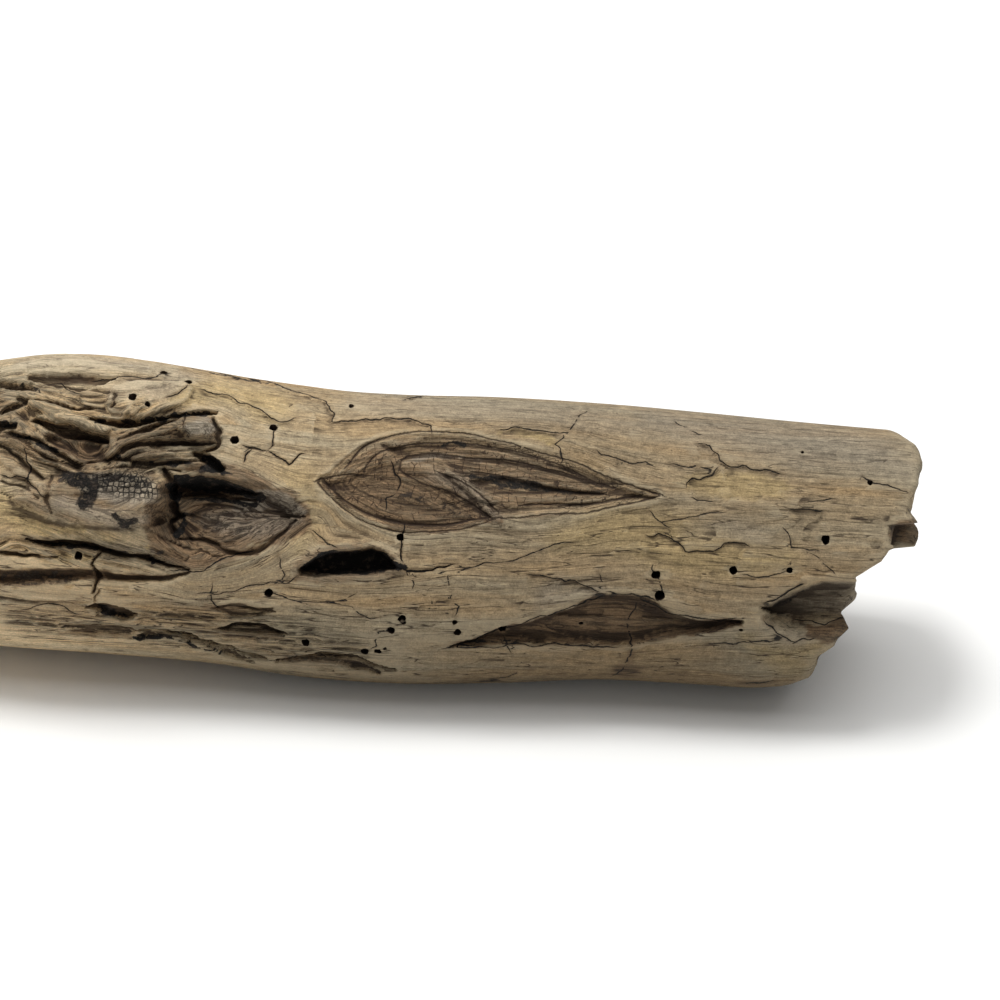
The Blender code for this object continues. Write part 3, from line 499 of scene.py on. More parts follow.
def fibre_relief(fibres):
    """Ridges of late wood and the edges of thin plates, stretched along the grain."""
    ridges = 0.20 * cloud(fibres, (26, 2.4, 5), seed=21) + 0.14 * cloud(fibres, (15, 1.2, 3), seed=22)
    layers = cloud(fibres, (24, 6, 10), seed=23) + 0.25 * cloud(fibres, (5, 1.6, 4), seed=24)
    plates = ease((layers - 0.10) / 0.07) + ease((layers - 0.55) / 0.07) + ease((layers + 0.45) / 0.07)
    return PLATES_LOW + ridges + PLATE_THICK * plates


TORN_WOOD = [[(-152, 30, 12), (-135, 27, 14), (-115, 23, 13), (-98, 25, 9), (-86, 25, 4)],
    [(-92, 3, 10), (-75, 3, 8), (-62, 4, 3)], [(-145, -9, 2), (-120, -9, 4), (-95, -11, 3)],
    [(-140, -31, 3), (-100, -31, 6), (-70, -31, 7), (-40, -36, 4)]]


def torn_share(along, up):
    return np.max([ease(inside_stroke(course, along, up)[0] / 6 + 0.5) for course in TORN_WOOD], axis=0)


def torn_relief(fibres, along, up):
    """Coarse fibres, one to three millimetres apart, where the wood is torn."""
    coarse = np.abs(cloud(fibres, (10, 2.0, 5), seed=61))
    coarse = coarse + 0.7 * np.abs(cloud(fibres, (6, 1.1, 2.5), seed=62))
    return TORN_DEEP * coarse * torn_share(along, up)


def knot_relief(along, up):
    """Growth rings of a knot, which follow its edge, and the deeper lines that were measured."""
    inside = knot_inside(along, up)
    rings = RING_STEP * (0.5 + 0.5 * np.sin(2 * math.pi * inside / RING_EVERY))
    near, taper = nearest_line([flowing(line) for line in KNOT_LINES], along, up, 2.5)
    lines = KNOT_LINE_DEEP * taper * ease(1 - np.abs(near) / KNOT_LINE_HALF_WIDTH)
    return ease(inside / 0.8) * rings + lines


def crack_relief(along, up, cracks):
    near, taper = nearest_line(cracks, along, up, 2.5)
    return CRACK_DEEP * taper * ease(1 - np.abs(near) / CRACK_HALF_WIDTH)


def ragged_edges(places):
    """Shifts that break the edges of the torn wood into small steps along the grain."""
    along = 0.8 * cloud(places, (5, 2.4, 4), seed=51) + 0.3 * cloud(places, (2.2, 1.2, 2), seed=52)
    up = 0.55 * cloud(places, (6, 2.4, 4), seed=53) + 0.2 * cloud(places, (2.6, 1.1, 2), seed=54)
    return along, up


def layered(depth, places):
    """Torn wood goes down in layers, so a slope becomes a flight of small steps."""
    wave = np.sin(2 * math.pi * depth / LAYER_THICK + 2 * cloud(places, (9, 4, 6), seed=55))
    return depth + 0.1 * LAYER_THICK * wave * ease(depth / 3)


def layer_relief(along, up):
    near, taper = nearest_line(LAYER_EDGES, along, up, 14)
    return FLAKE_DEEP * taper * ease(0.5 - near / 0.5) * np.exp(np.minimum(near, 0) / 6)


# %% The skin
def skin(along, angle):
    """The surface at each place along the log and angle round it, as (up, front)."""
    middle_up, middle_front, half_height, half_depth = section(along)
    sine, cosine = np.sin(angle), np.cos(angle)
    up = middle_up + half_height * sine
    front = middle_front + half_depth * cosine
    places = np.stack([along, up, front], axis=1)
    warped_along, warped_up = warped(places)
    on_face, on_back = ease(cosine / FACE_FADE), ease(-cosine / FACE_FADE)
    torn_along, torn_up = ragged_edges(places)
    torn_along, torn_up = torn_along + warped_along, torn_up + warped_up
    depth = layered(cut_depth(FACE_CUTS, torn_along, torn_up), places) * on_face
    depth += cut_depth(KNOT_CUTS, warped_along, warped_up) * on_face
    depth += cut_depth(BACK_CUTS, warped_along, warped_up) * on_back
    depth += SWELL * cosine**2 * cloud(places, (34, 22, 22), seed=3)
    depth += GRAIN_RIDGES * cosine**2 * cloud(places, (48, 5, 9), seed=4)
    depth += BACK_FLUTES * ease(-cosine / 0.6) * cloud(places, (75, 10, 14), seed=7)
    ragged_along, ragged_up = along + wander(places, 31), up + wander(places, 33)
    across = up + (across_grain(along, up) - up) * on_face
    fibres = np.stack([along, across, front], axis=1)
    depth += fibre_relief(fibres) * (0.5 + 0.5 * cosine) * (0.3 + 0.7 * np.abs(cosine))
    depth += on_face * (crack_relief(ragged_along, ragged_up, OPEN_CRACKS) + torn_relief(fibres, along, up))
    depth += on_back * crack_relief(ragged_along, ragged_up, BACK_CRACKS)
    depth += on_face * (layer_relief(ragged_along, ragged_up) + knot_relief(warped_along, warped_up))
    inward = angle - INWARD_TURN * np.sin(2 * angle)
    return up - depth * np.sin(inward), front - depth * np.cos(inward)


# %% [markdown]
# ## The two ends
#
# The left end is weathered flat, with faint growth rings and checks of uneven length that run out from
# the pith. The right end is torn, so its fibres stand out in thin sheets of many lengths. Both ends
# round over at their rims, where the sea has worn them.

# %% The ends
END_WANDER = 7.0
END_CHECKS, CHECK_DEEP = 7, 3.0
END_RING_STEP, END_RING_EVERY = 0.5, 2.4
SPLINTERS = 2.6


def on_section(up, front):
    return np.stack([np.zeros_like(up), up, front], axis=1)


def left_end(up, front):
    """How far along the weathered left end stands at each place of the cross-section."""
    places = on_section(up, front)
    return LEFT_END + LEFT_RELIEF * (0.5 + 0.5 * cloud(places, 16, seed=5))


def right_end(up, front):
    """The torn right end, shorter at the back and at the stub's broken front skin."""
    places = on_section(up, front)
    wandered = up + END_WANDER * ease(-front / 12) * cloud(places, (20, 25, 11), seed=8)
    along = np.interp(wandered, *np.array(RIGHT_END, float).T)
    along = along - BACK_SHORTER * ease(-front / 24)
    stub = BROKEN_STUB
    in_height = ease((up - stub["low"]) / 1.5) * ease((stub["high"] - up) / 1.5)
    in_stub = in_height * ease((front - stub["front"]) / 3)
    return along - stub["shorter"] * in_stub - 2.0 * (0.5 + 0.5 * cloud(places, (9, 4, 7), seed=6))


def left_grain(up, front):
    """How deep the rings and checks of the left end are."""
    places = on_section(up, front)
    from_pith = np.hypot(up - PITH_UP, front - PITH_FRONT)
    round_pith = np.arctan2(front - PITH_FRONT, up - PITH_UP) + 0.16 * cloud(places, (9, 9, 9), seed=11)
    rings = 0.5 + 0.5 * np.sin(2 * math.pi * (from_pith + 1.5 * cloud(places, 14, seed=12)) / END_RING_EVERY)
    off_check = np.abs(np.sin(round_pith * END_CHECKS / 2)) * from_pith * 2 / END_CHECKS
    reach = 27 + 13 * np.sin(2 * round_pith + 1) + 6 * np.sin(5 * round_pith)
    checks = ease(1 - off_check / 0.8) * ease(from_pith / 8) * ease((reach - from_pith) / 7)
    return END_RING_STEP * rings + CHECK_DEEP * checks * (0.6 + 0.4 * cloud(places, 12, seed=13))


def right_grain(up, front):
    """How far the torn fibres of the right end fall short of the longest."""
    places = on_section(up, front)
    coarse = 0.5 + 0.5 * cloud(places, (4, 10, 3), seed=14)
    return SPLINTERS * coarse + 0.8 * (0.5 + 0.5 * cloud(places, (2, 4, 1.2), seed=15))


# %% The whole surface
CAP_SHARE = 0.06
RIM_CROWDING = 1.6
CAP_MARGIN = 4.0


def rim(end, side, angle):
    """Where the side meets the rounded rim of an end. The place along the log decides the relief there, and
    the relief decides the place, so it is found in a few rounds."""
    along = np.full_like(angle, end(np.zeros(1), np.zeros(1))[0] - side * RIM_ROUND)
    for _ in range(RIM_ROUNDS):
        along = end(*skin(along, angle)) - side * RIM_ROUND
    return along


def surface(ring_share, angle, left_rim, right_rim):
    """Millimetre coordinates of the whole log. The ring share runs from the middle of the left end, over its
    rim and along the side, to the middle of the right end."""
    left_inset = np.clip(1 - ring_share / CAP_SHARE, 0, 1) ** RIM_CROWDING
    right_inset = np.clip(1 - (1 - ring_share) / CAP_SHARE, 0, 1) ** RIM_CROWDING
    side_share = np.clip((ring_share - CAP_SHARE) / (1 - 2 * CAP_SHARE), 0, 1)
    along = left_rim + side_share * (right_rim - left_rim)
    up, front = skin(along, angle)
    from_pith = np.hypot(up - PITH_UP, front - PITH_FRONT)
    left = (left_end, left_grain, -1, left_inset, left_rim)
    right = (right_end, right_grain, 1, right_inset, right_rim)
    for end, grain, side, inset, end_rim in (left, right):
        missed = end_rim + side * RIM_ROUND - end(up, front)
        inner_up = PITH_UP + (up - PITH_UP) * (1 - inset)
        inner_front = PITH_FRONT + (front - PITH_FRONT) * (1 - inset)
        from_rim = np.clip(RIM_ROUND - inset * from_pith, 0, RIM_ROUND)
        setback = RIM_ROUND - np.sqrt(RIM_ROUND**2 - from_rim**2)
        cap = end(inner_up, inner_front) + missed * (1 - inset) ** 4 - side * setback
        cap -= side * grain(inner_up, inner_front) * ease(inset * from_pith / CAP_MARGIN)
        along = np.where(inset > 0, cap, along)
        up, front = inner_up, inner_front
    return np.stack([along, up, front], axis=1)


# %% [markdown]
# ## From numbers to a mesh
#
# The points lie on rings round the log, closer together on the face than on the back, and the two end
# points close it. That is far more than the log needs where it is smooth, so a Decimate modifier then
# joins points where nothing is lost and keeps them at the cracks. The flat that the log has worn on its
# underside is made by lifting every point below the floor onto it.

# %% The fine mesh
RINGS, SIDES = 760, 372
FACE_CROWDING = 0.42
TRIANGLES = 189000


def ring_points():
    """Points of the log as (along, up, front), ring by ring, between the two end points."""
    turn = 2 * math.pi * np.arange(SIDES) / SIDES - math.pi
    turn = turn - FACE_CROWDING * np.sin(turn)
    share = np.arange(1, RINGS) / RINGS
    left_rim = rim(left_end, -1, turn)
    right_rim = rim(right_end, 1, turn)
    every_share = np.concatenate([[0], np.repeat(share, SIDES), [1]])
    every_turn = np.concatenate([[0], np.tile(turn, len(share)), [0]])
    ends = np.full(1, LEFT_END), np.full(1, RIGHT_END[-1][1])
    every_left = np.concatenate([ends[0], np.tile(left_rim, len(share)), ends[0]])
    every_right = np.concatenate([ends[1], np.tile(right_rim, len(share)), ends[1]])
    return surface(every_share, every_turn, every_left, every_right)


def ring_faces():
    """Triangles between neighbouring rings, facing outwards, and a fan at each end."""
    here = np.arange(SIDES)
    beside = (here + 1) % SIDES
    start = 1 + SIDES * np.arange(RINGS - 2)[:, None]
    a, b = (start + here).ravel(), (start + beside).ravel()
    c, d = b + SIDES, a + SIDES
    last_ring, last = 1 + SIDES * (RINGS - 2), 1 + SIDES * (RINGS - 1)
    fan = np.stack([np.zeros(SIDES, int), 1 + beside, 1 + here], axis=1)
    last_fan = np.stack([np.full(SIDES, last), last_ring + here, last_ring + beside], axis=1)
    return np.concatenate([fan, np.stack([a, b, c], axis=1), np.stack([a, c, d], axis=1), last_fan])


def in_world(points):
    """World coordinates in metres, before the log is set on the floor."""
    return (points[:, :1] * ALONG + points[:, 1:2] * UP_THE_FACE + points[:, 2:] * FRONT) * MM


placed = in_world(ring_points())
solid_low, solid_high = np.array(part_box("driftwood")[0]), np.array(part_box("driftwood")[1])
SET_DOWN = (solid_low + solid_high) / 2 - (placed.min(axis=0) + placed.max(axis=0)) / 2
SET_DOWN[2] = solid_high[2] - placed[:, 2].max()
placed = np.clip(placed + SET_DOWN, solid_low, solid_high)
fine_mesh = bpy.data.meshes.new("fine driftwood")
fine_mesh.from_pydata(placed.tolist(), [], ring_faces().tolist())
print(len(placed), "points, set down by", np.round(SET_DOWN / MM, 2), "mm")


# %% Fewer triangles
def new_object(name, data):
    """An object in the scene, at the origin."""
    made = bpy.data.objects.new(name, data)
    bpy.context.scene.collection.objects.link(made)
    return made


def face_groups(shape):
    """The groups of faces that hang together across edges shared by just two faces."""
    waiting = set(shape.faces)
    groups = []
    while waiting:
        group = [waiting.pop()]
        for face in group:
            for edge in face.edges:
                fresh = set(edge.link_faces) & waiting if len(edge.link_faces) == 2 else set()
                waiting -= fresh
                group.extend(fresh)
        groups.append(group)
    return sorted(groups, key=len)


def lighter(mesh):
    """The mesh with fewer triangles, without any sliver that hangs on by one edge."""
    shaping = new_object("shaping", mesh)
    fewer = shaping.modifiers.new("fewer faces", "DECIMATE")
    fewer.ratio = TRIANGLES / len(mesh.polygons)
    fewer.use_collapse_triangulate = True
    result = bpy.data.meshes.new_from_object(shaping.evaluated_get(bpy.context.evaluated_depsgraph_get()))
    bpy.data.objects.remove(shaping)
    shape = bmesh.new()
    shape.from_mesh(result)
    slivers = [face for group in face_groups(shape)[:-1] for face in group]
    bmesh.ops.delete(shape, geom=slivers, context="FACES")
    bmesh.ops.recalc_face_normals(shape, faces=shape.faces)
    shape.to_mesh(result)
    shape.free()
    return result, len(slivers)


log_mesh, sliver_count = lighter(fine_mesh)
print(len(log_mesh.polygons), "triangles after", sliver_count, "sliver faces were dropped")

# %% [markdown]
# ## The beetles' holes
#
# Boring beetles leave round holes 1 to 3 mm across, square to the surface. They repeat, so Geometry
# Nodes makes them: a small mesh holds one point for each hole, with its size and its direction. The
# tree puts a peg on each point, makes the pegs uneven with a noise, and cuts them all out of the log at
# once.

# %% Where the holes are
FACE_HOLES = [(-94.5, 42, 1.2), (-79, 25.5, 1.3), (-68, 30, 1.2), (-105, 34.2, 0.9),
    (-109.5, 36, 1.2), (-102, 44.5, 1.1), (-122, -11, 1.2), (-29, -0.5, 1.1), (-66.5, -19, 1.3),
    (-27.5, -24.5, 1.2), (-30.5, -28, 1.2), (-55.5, -33.5, 1.2), (-38, -35, 1.2), (-34, -34.5, 1.1),
    (-11, -27.5, 1.1), (46, -7.5, 1.3), (95, 5.5, 1.3), (68.5, -5, 1.2), (85, -4, 1.1),
    (107.5, 23, 0.8), (-46, 37.5, 0.9), (2, -26.5, 1.3), (-12, -24.5, 0.8), (-27, -25.5, 0.9),
    (47.5, -13.5, 1.4), (87.5, 31, 0.5), (25, -24, 0.7), (-32, -33.5, 0.6), (72, -22.5, 0.6)]
BACK_HOLES = [(-128, 8, 1.2), (-96, -4, 1.3), (-12, 18, 1.2), (34, -20, 1.2), (72, 6, 1.3),
    (98, 20, 1.2), (20, 2, 0.7), (-60, -22, 0.8), (88, -14, 0.6)]
HOLE_DEPTH = 8.0


def hole_place(along, up, way_out):
    """Where a hole's axis meets the plain section, as one (along, up, front), and its direction."""
    middle_up, middle_front, half_height, half_depth = section(np.array([along], float))
    lean = float((up - middle_up[0]) / half_height[0])
    front = middle_front[0] + way_out * half_depth[0] * math.sqrt(1 - lean**2)
    way = way_out * FRONT + 0.5 * lean * UP_THE_FACE
    return np.array([[along, up, front]], float), way / np.linalg.norm(way)


def hole_points():
    """A mesh with a point on the plain section for each hole, its two radii in metres and its direction."""
    points, radii, ways = [], [], []
    for holes, way_out in ((FACE_HOLES, 1), (BACK_HOLES, -1)):
        for along, up, radius in holes:
            start, way = hole_place(along, up, way_out)
            points.append(start[0])
            radii.append((radius * MM, radius * MM * (0.8 + 0.35 * (len(radii) * 0.618 % 1)), 1))
            ways.append(way)
    mesh = bpy.data.meshes.new("holes")
    mesh.from_pydata((in_world(np.array(points)) + SET_DOWN).tolist(), [], [])
    mesh.attributes.new("size", "FLOAT_VECTOR", "POINT").data.foreach_set("vector", np.ravel(radii))
    mesh.attributes.new("way", "FLOAT_VECTOR", "POINT").data.foreach_set("vector", np.ravel(ways))
    return mesh


hole_object = new_object("holes", hole_points())
print(len(hole_object.data.vertices), "holes")


# %% One way to add a node
def add_node(tree, kind, settings=None, sockets=None, out=None):
    """Adds a node with its own settings, and gives each socket a value or a link. It gives back the node, or
    the output that `out` names."""
    node = tree.nodes.new(kind)
    for name, value in (settings or {}).items():
        setattr(node, name, value)
    for name, value in (sockets or {}).items():
        if isinstance(value, bpy.types.NodeSocket):
            tree.links.new(value, node.inputs[name])
        else:
            node.inputs[name].default_value = value
    return node if out is None else node.outputs[out]


# %% The tree that bores the holes
WOOD = bpy.data.materials.new("weathered driftwood")


def boring_tree():
    """Puts a peg on each point, makes the pegs uneven, marks their faces and cuts them out of the log."""
    tree = bpy.data.node_groups.new("beetle holes", "GeometryNodeTree")
    for name, end, kind in [
            ("Log", "INPUT", "Geometry"), ("Holes", "INPUT", "Object"), ("Depth", "INPUT", "Float"),
            ("Sides", "INPUT", "Int"), ("Raggedness", "INPUT", "Float"), ("Log", "OUTPUT", "Geometry")]:
        tree.interface.new_socket(name, in_out=end, socket_type="NodeSocket" + kind)
    given = add_node(tree, "NodeGroupInput").outputs
    places = add_node(tree, "GeometryNodeObjectInfo", {}, {"Object": given["Holes"]}, "Geometry")
    length = add_node(tree, "ShaderNodeMath", {"operation": "MULTIPLY"}, {0: given["Depth"], 1: 2.0}, 0)
    peg = add_node(tree, "GeometryNodeMeshCylinder", {}, {
        "Vertices": given["Sides"], "Radius": 1.0, "Depth": length}, "Mesh")
    size, way = [
        add_node(tree, "GeometryNodeInputNamedAttribute", {"data_type": "FLOAT_VECTOR"}, {"Name": name}, 0)
        for name in ("size", "way")]
    turned = add_node(tree, "FunctionNodeAlignRotationToVector", {"axis": "Z"}, {"Vector": way}, "Rotation")
    marked = add_node(tree, "GeometryNodeStoreNamedAttribute", {"data_type": "FLOAT", "domain": "FACE"}, {
        "Geometry": peg, "Name": "bored", "Value": 1.0}, "Geometry")
    pegs = add_node(tree, "GeometryNodeInstanceOnPoints", {}, {
        "Points": places, "Instance": marked, "Rotation": turned, "Scale": size}, "Instances")
    real = add_node(tree, "GeometryNodeRealizeInstances", {}, {"Geometry": pegs}, "Geometry")
    gnawed = add_node(tree, "ShaderNodeTexNoise", {}, {"Scale": 800.0, "Detail": 1.0}, "Color")
    centred = add_node(tree, "ShaderNodeVectorMath", {"operation": "SUBTRACT"}, {
        0: gnawed, 1: (0.5, 0.5, 0.5)}, 0)
    shift = add_node(tree, "ShaderNodeVectorMath", {"operation": "SCALE"}, {
        0: centred, "Scale": given["Raggedness"]}, 0)
    uneven = add_node(tree, "GeometryNodeSetPosition", {}, {"Geometry": real, "Offset": shift}, "Geometry")
    bored = add_node(tree, "GeometryNodeMeshBoolean", {"operation": "DIFFERENCE", "solver": "MANIFOLD"}, {
        "Mesh 1": given["Log"], "Mesh 2": uneven}, "Mesh")
    whole = add_node(tree, "GeometryNodeRealizeInstances", {}, {"Geometry": bored}, "Geometry")
    finished = add_node(tree, "GeometryNodeSetMaterial", {}, {
        "Geometry": whole, "Material": WOOD}, "Geometry")
    add_node(tree, "NodeGroupOutput", sockets={"Log": finished})
    return tree


def bored_mesh(mesh):
    """The log's mesh with the holes cut out of it, as plain mesh data."""
    boring = new_object("boring", mesh)
    holes = boring.modifiers.new("beetle holes", "NODES")
    holes.node_group = boring_tree()
    values = {"Holes": hole_object, "Depth": HOLE_DEPTH * MM, "Sides": 14, "Raggedness": 1.5 * MM}
    for socket in holes.node_group.interface.items_tree:
        if socket.in_out == "INPUT" and socket.name in values:
            holes[socket.identifier] = values[socket.name]
    evaluated = boring.evaluated_get(bpy.context.evaluated_depsgraph_get())
    result = bpy.data.meshes.new_from_object(evaluated)
    bpy.data.objects.remove(boring)
    return result


wood_mesh = bored_mesh(log_mesh)
bpy.data.objects.remove(hole_object)
print(len(wood_mesh.polygons), "faces with the holes, of which in the holes",
      sum(face.value > 0.5 for face in wood_mesh.attributes["bored"].data))

# %% [markdown]
# ## Painting the wood with measured values
#
# The finish has to know what each place is: bare wood, knot, rot, char and painted shade, a crack. So each
# point of the mesh gets a few numbers, worked out from where it is: how far it lies below the plain skin,
# how far from the nearest crack and on which side, how deep inside a knot, how stained, and where shade
# is painted. The distance to a crack changes its sign at the crack, which lets the finish draw a line
# that is finer than the triangles.

# %% Back from the mesh to the face
WITHIN = 2e-6
coordinates = np.empty(len(wood_mesh.vertices) * 3, np.float32)
wood_mesh.vertices.foreach_get("co", coordinates)
coordinates = np.clip(coordinates.reshape(-1, 3).astype(float), solid_low + WITHIN, solid_high - WITHIN)
wood_mesh.vertices.foreach_set("co", coordinates.ravel())
coordinates -= SET_DOWN
log_along, log_up, log_front = (coordinates @ np.stack([ALONG, UP_THE_FACE, FRONT], axis=1) / MM).T
mid_up, mid_front, tall, thick = section(log_along)
lean = np.clip((log_up - mid_up) / tall, -1, 1)
off_middle = np.hypot(lean, (log_front - mid_front) / thick)
sunk = (1 - off_middle) * thick
plain_front = mid_front + thick * np.sqrt(1 - lean**2)
plain_places = np.stack([log_along, log_up, plain_front], axis=1)
faces_viewer = log_front > mid_front
face_share = ease((log_front - mid_front) / thick / 0.3)
face_along, face_up = warped(plain_places)
print("deepest place:", round(float(sunk.max()), 1), "mm below the plain skin")


# %% Numbers for each point
def give(name, values, kind="FLOAT"):
    field = "vector" if kind == "FLOAT_VECTOR" else "value"
    layer = wood_mesh.attributes.new(name, kind, "POINT")
    layer.data.foreach_set(field, np.ravel(values).astype(np.float32))


ragged = log_along + wander(plain_places, 31), log_up + wander(plain_places, 33)
face_lines = OPEN_CRACKS + HAIR_CRACKS + LAYER_EDGES
line_near, line_taper = nearest_line(face_lines, *ragged, 4)
open_near = nearest_line(OPEN_CRACKS, *ragged, 4)[0]
back_near, back_taper = nearest_line(BACK_CRACKS, *ragged, 4)
line_near = np.where(faces_viewer, line_near, back_near)
line_taper = np.where(faces_viewer, line_taper, back_taper)
is_open = np.where(faces_viewer, np.isclose(np.abs(line_near), np.abs(open_near)) * 1.0, 0.5)
give("crack_side", np.clip(line_near, -3, 3))
give("crack_near", np.abs(line_near))
seen_square = np.where(faces_viewer, ease((log_front - mid_front) / thick / 0.2), 1)
give("crack_width", line_taper * (0.12 + 0.05 * is_open) * seen_square)
ring_near = nearest_line([flowing(line) for line in KNOT_LINES], face_along, face_up, 3)[0]
give("ring_side", np.clip(ring_near, -3, 3))
give("ring_near", np.where(faces_viewer, np.abs(ring_near), 3))

in_back_knot = inside_stroke(BACK_KNOT, log_along, log_up)[0]
knot_in = np.where(faces_viewer, knot_inside(face_along, face_up), in_back_knot)
give("knot", np.clip(knot_in, -6, 14))
give("torn", torn_share(log_along, log_up) * face_share)
give("sunk", np.clip(sunk, -2, 20))
across = log_up + (across_grain(log_along, log_up) - log_up) * face_share
give("grain", np.stack([log_along, across, log_front], axis=1), "FLOAT_VECTOR")
print("deepest inside a knot:", round(float(knot_in.max()), 1), "mm")

# %% [markdown]
# ## Stains
#
# Rot turns wood brown and then black, salt and sun turn it silver, and the wood under a fresh flake is
# still yellow. The black strokes are partly char and partly painted shade, laid in the cuts, the valleys
# and under the flaked edges. Each stain is a few more strokes, given with a strength and a soft edge.

# %% Where the stains are
# The char strokes lie in the slot, the valleys, the cracks and under the flaked edges: partly char and
# partly painted shade.
BLACK_AND_SHADE_STAINS = [([(-57, -11, 1), (-52, -9, 2.5), (-43, -8.5, 3.5), (-34.5, -8, 3), (-30, -8.5, 1),
    (-27, -9, 0.5)], 1.0, 0.8), ([(-96.5, 11, 1), (-95.5, 8, 1.5), (-94.5, 5.5, 1)], 1.0, 1),
    ([(-94, 12.5, 2), (-86, 12, 2.4), (-77, 10.5, 1.6), (-70, 9, 0.8)], 0.95, 1.2), ([(-90, 7.5, 0.6),
    (-80, 7.5, 1), (-72, 6.5, 0.5)], 0.8, 1), ([(-88, 16, 1), (-82, 16.5, 1.2)], 0.9, 1.5),
    ([(-94.5, -3.5, 1), (-92.5, -1.5, 1.2), (-92.5, 2.5, 1)], 0.9, 1), ([(-93, 2, 3), (-84, 1, 4.5),
    (-74, 0, 3.5), (-66, 0, 1.5)], 0.42, 5), ([(-178, -19, 2), (-144.5, -18.5, 2.6),
    (-133.5, -17.5, 2.2), (-122, -17.5, 1.6)], 0.5, 1.5), ([(-122, -17.5, 1), (-110, -17, 0.8),
    (-98.5, -16, 0.5)], 0.42, 1.5), ([(-127, 12, 1.5), (-121, 10.5, 3), (-119, 7, 3),
    (-121, 4, 1.5)], 0.7, 3), ([(-118, 12, 1.5), (-110, 12.5, 2), (-103, 12, 1)], 0.6, 3),
    ([(-114, 8, 4), (-106, 8, 3.5)], 0.3, 3), ([(-111, 2, 1), (-109, -1, 1.5),
    (-106, 0.5, 1)], 0.65, 1.5), ([(-119, 29, 0.4), (-110, 29, 0.8), (-101, 30.5, 0.5),
    (-93, 32.3, 0.3), (-86, 33, 0.4)], 0.85, 0.8), ([(-87, 19.5, 0.8), (-84, 17.5, 1.4),
    (-81, 15.5, 0.8)], 0.95, 1), ([(-132, -7.5, 0.3), (-122, -8, 0.7), (-113, -8.5, 0.7),
    (-104, -10, 0.4), (-97, -12, 0.2)], 0.9, 0.8), ([(-106, -34.5, 0.3), (-97, -33.5, 0.7),
    (-88.5, -36, 0.7), (-80.5, -37.5, 0.7)], 0.8, 0.8), ([(-116, -25.5, 1), (-112.5, -27, 1.5),
    (-108.5, -28, 1)], 0.75, 1.5), ([(-36, 10, 0.4), (-29, 11.5, 1.2), (-21, 10.5, 1),
    (-13.5, 8, 1.5), (-9, 7, 0.7)], 0.5, 1.8), ([(-10, 18.5, 0.6), (-4, 18, 1.6), (5, 16.5, 1.7),
    (16.5, 15.5, 1), (28.5, 15.7, 0.4)], 0.65, 1.8), ([(-18.5, 27, 0.6), (-15.5, 28, 1.3),
    (-12, 27.5, 0.8)], 0.7, 1.5), ([(76, -14.7, 0.3), (82, -15, 0.6), (90, -10, 0.4)], 0.6, 1),
    ([(95, -22, 2), (99.5, -21.5, 3), (104, -19.5, 3)], 0.38, 1), ([(-104, 42.5, 0.8),
    (-100.5, 44, 0.8)], 0.6, 1.2), ([(-98, -8.5, 0.8), (-93, -10.5, 0.8)], 0.5, 1.5),
    ([(-143, 38.5, 1), (-137, 37, 0.4)], 0.8, 1), ([(-148, 26, 1.2), (-143, 26, 0.8)], 0.8, 1),
    ([(-146, 24.3, 0.4), (-136, 21.5, 0.5), (-125, 16.5, 0.4)], 0.8, 0.8), ([(-112, 18.5, 0.3),
    (-100, 17.3, 0.5), (-90, 18, 0.3)], 0.7, 0.8), ([(-98, 47.2, 0.4), (-86, 45.4, 0.6),
    (-72, 43.6, 0.5)], 0.9, 0.8), ([(-31, 41.4, 0.6), (-25, 41.8, 0.6)], 0.9, 0.8),
    ([(-8, -30.2, 0.2), (4, -29.3, 0.4), (20, -29, 0.4), (36, -28, 0.2)], 0.75, 0.8),
    ([(26, -16.5, 0.5), (33, -14, 0.7), (44, -15, 0.5)], 0.65, 1.2)]
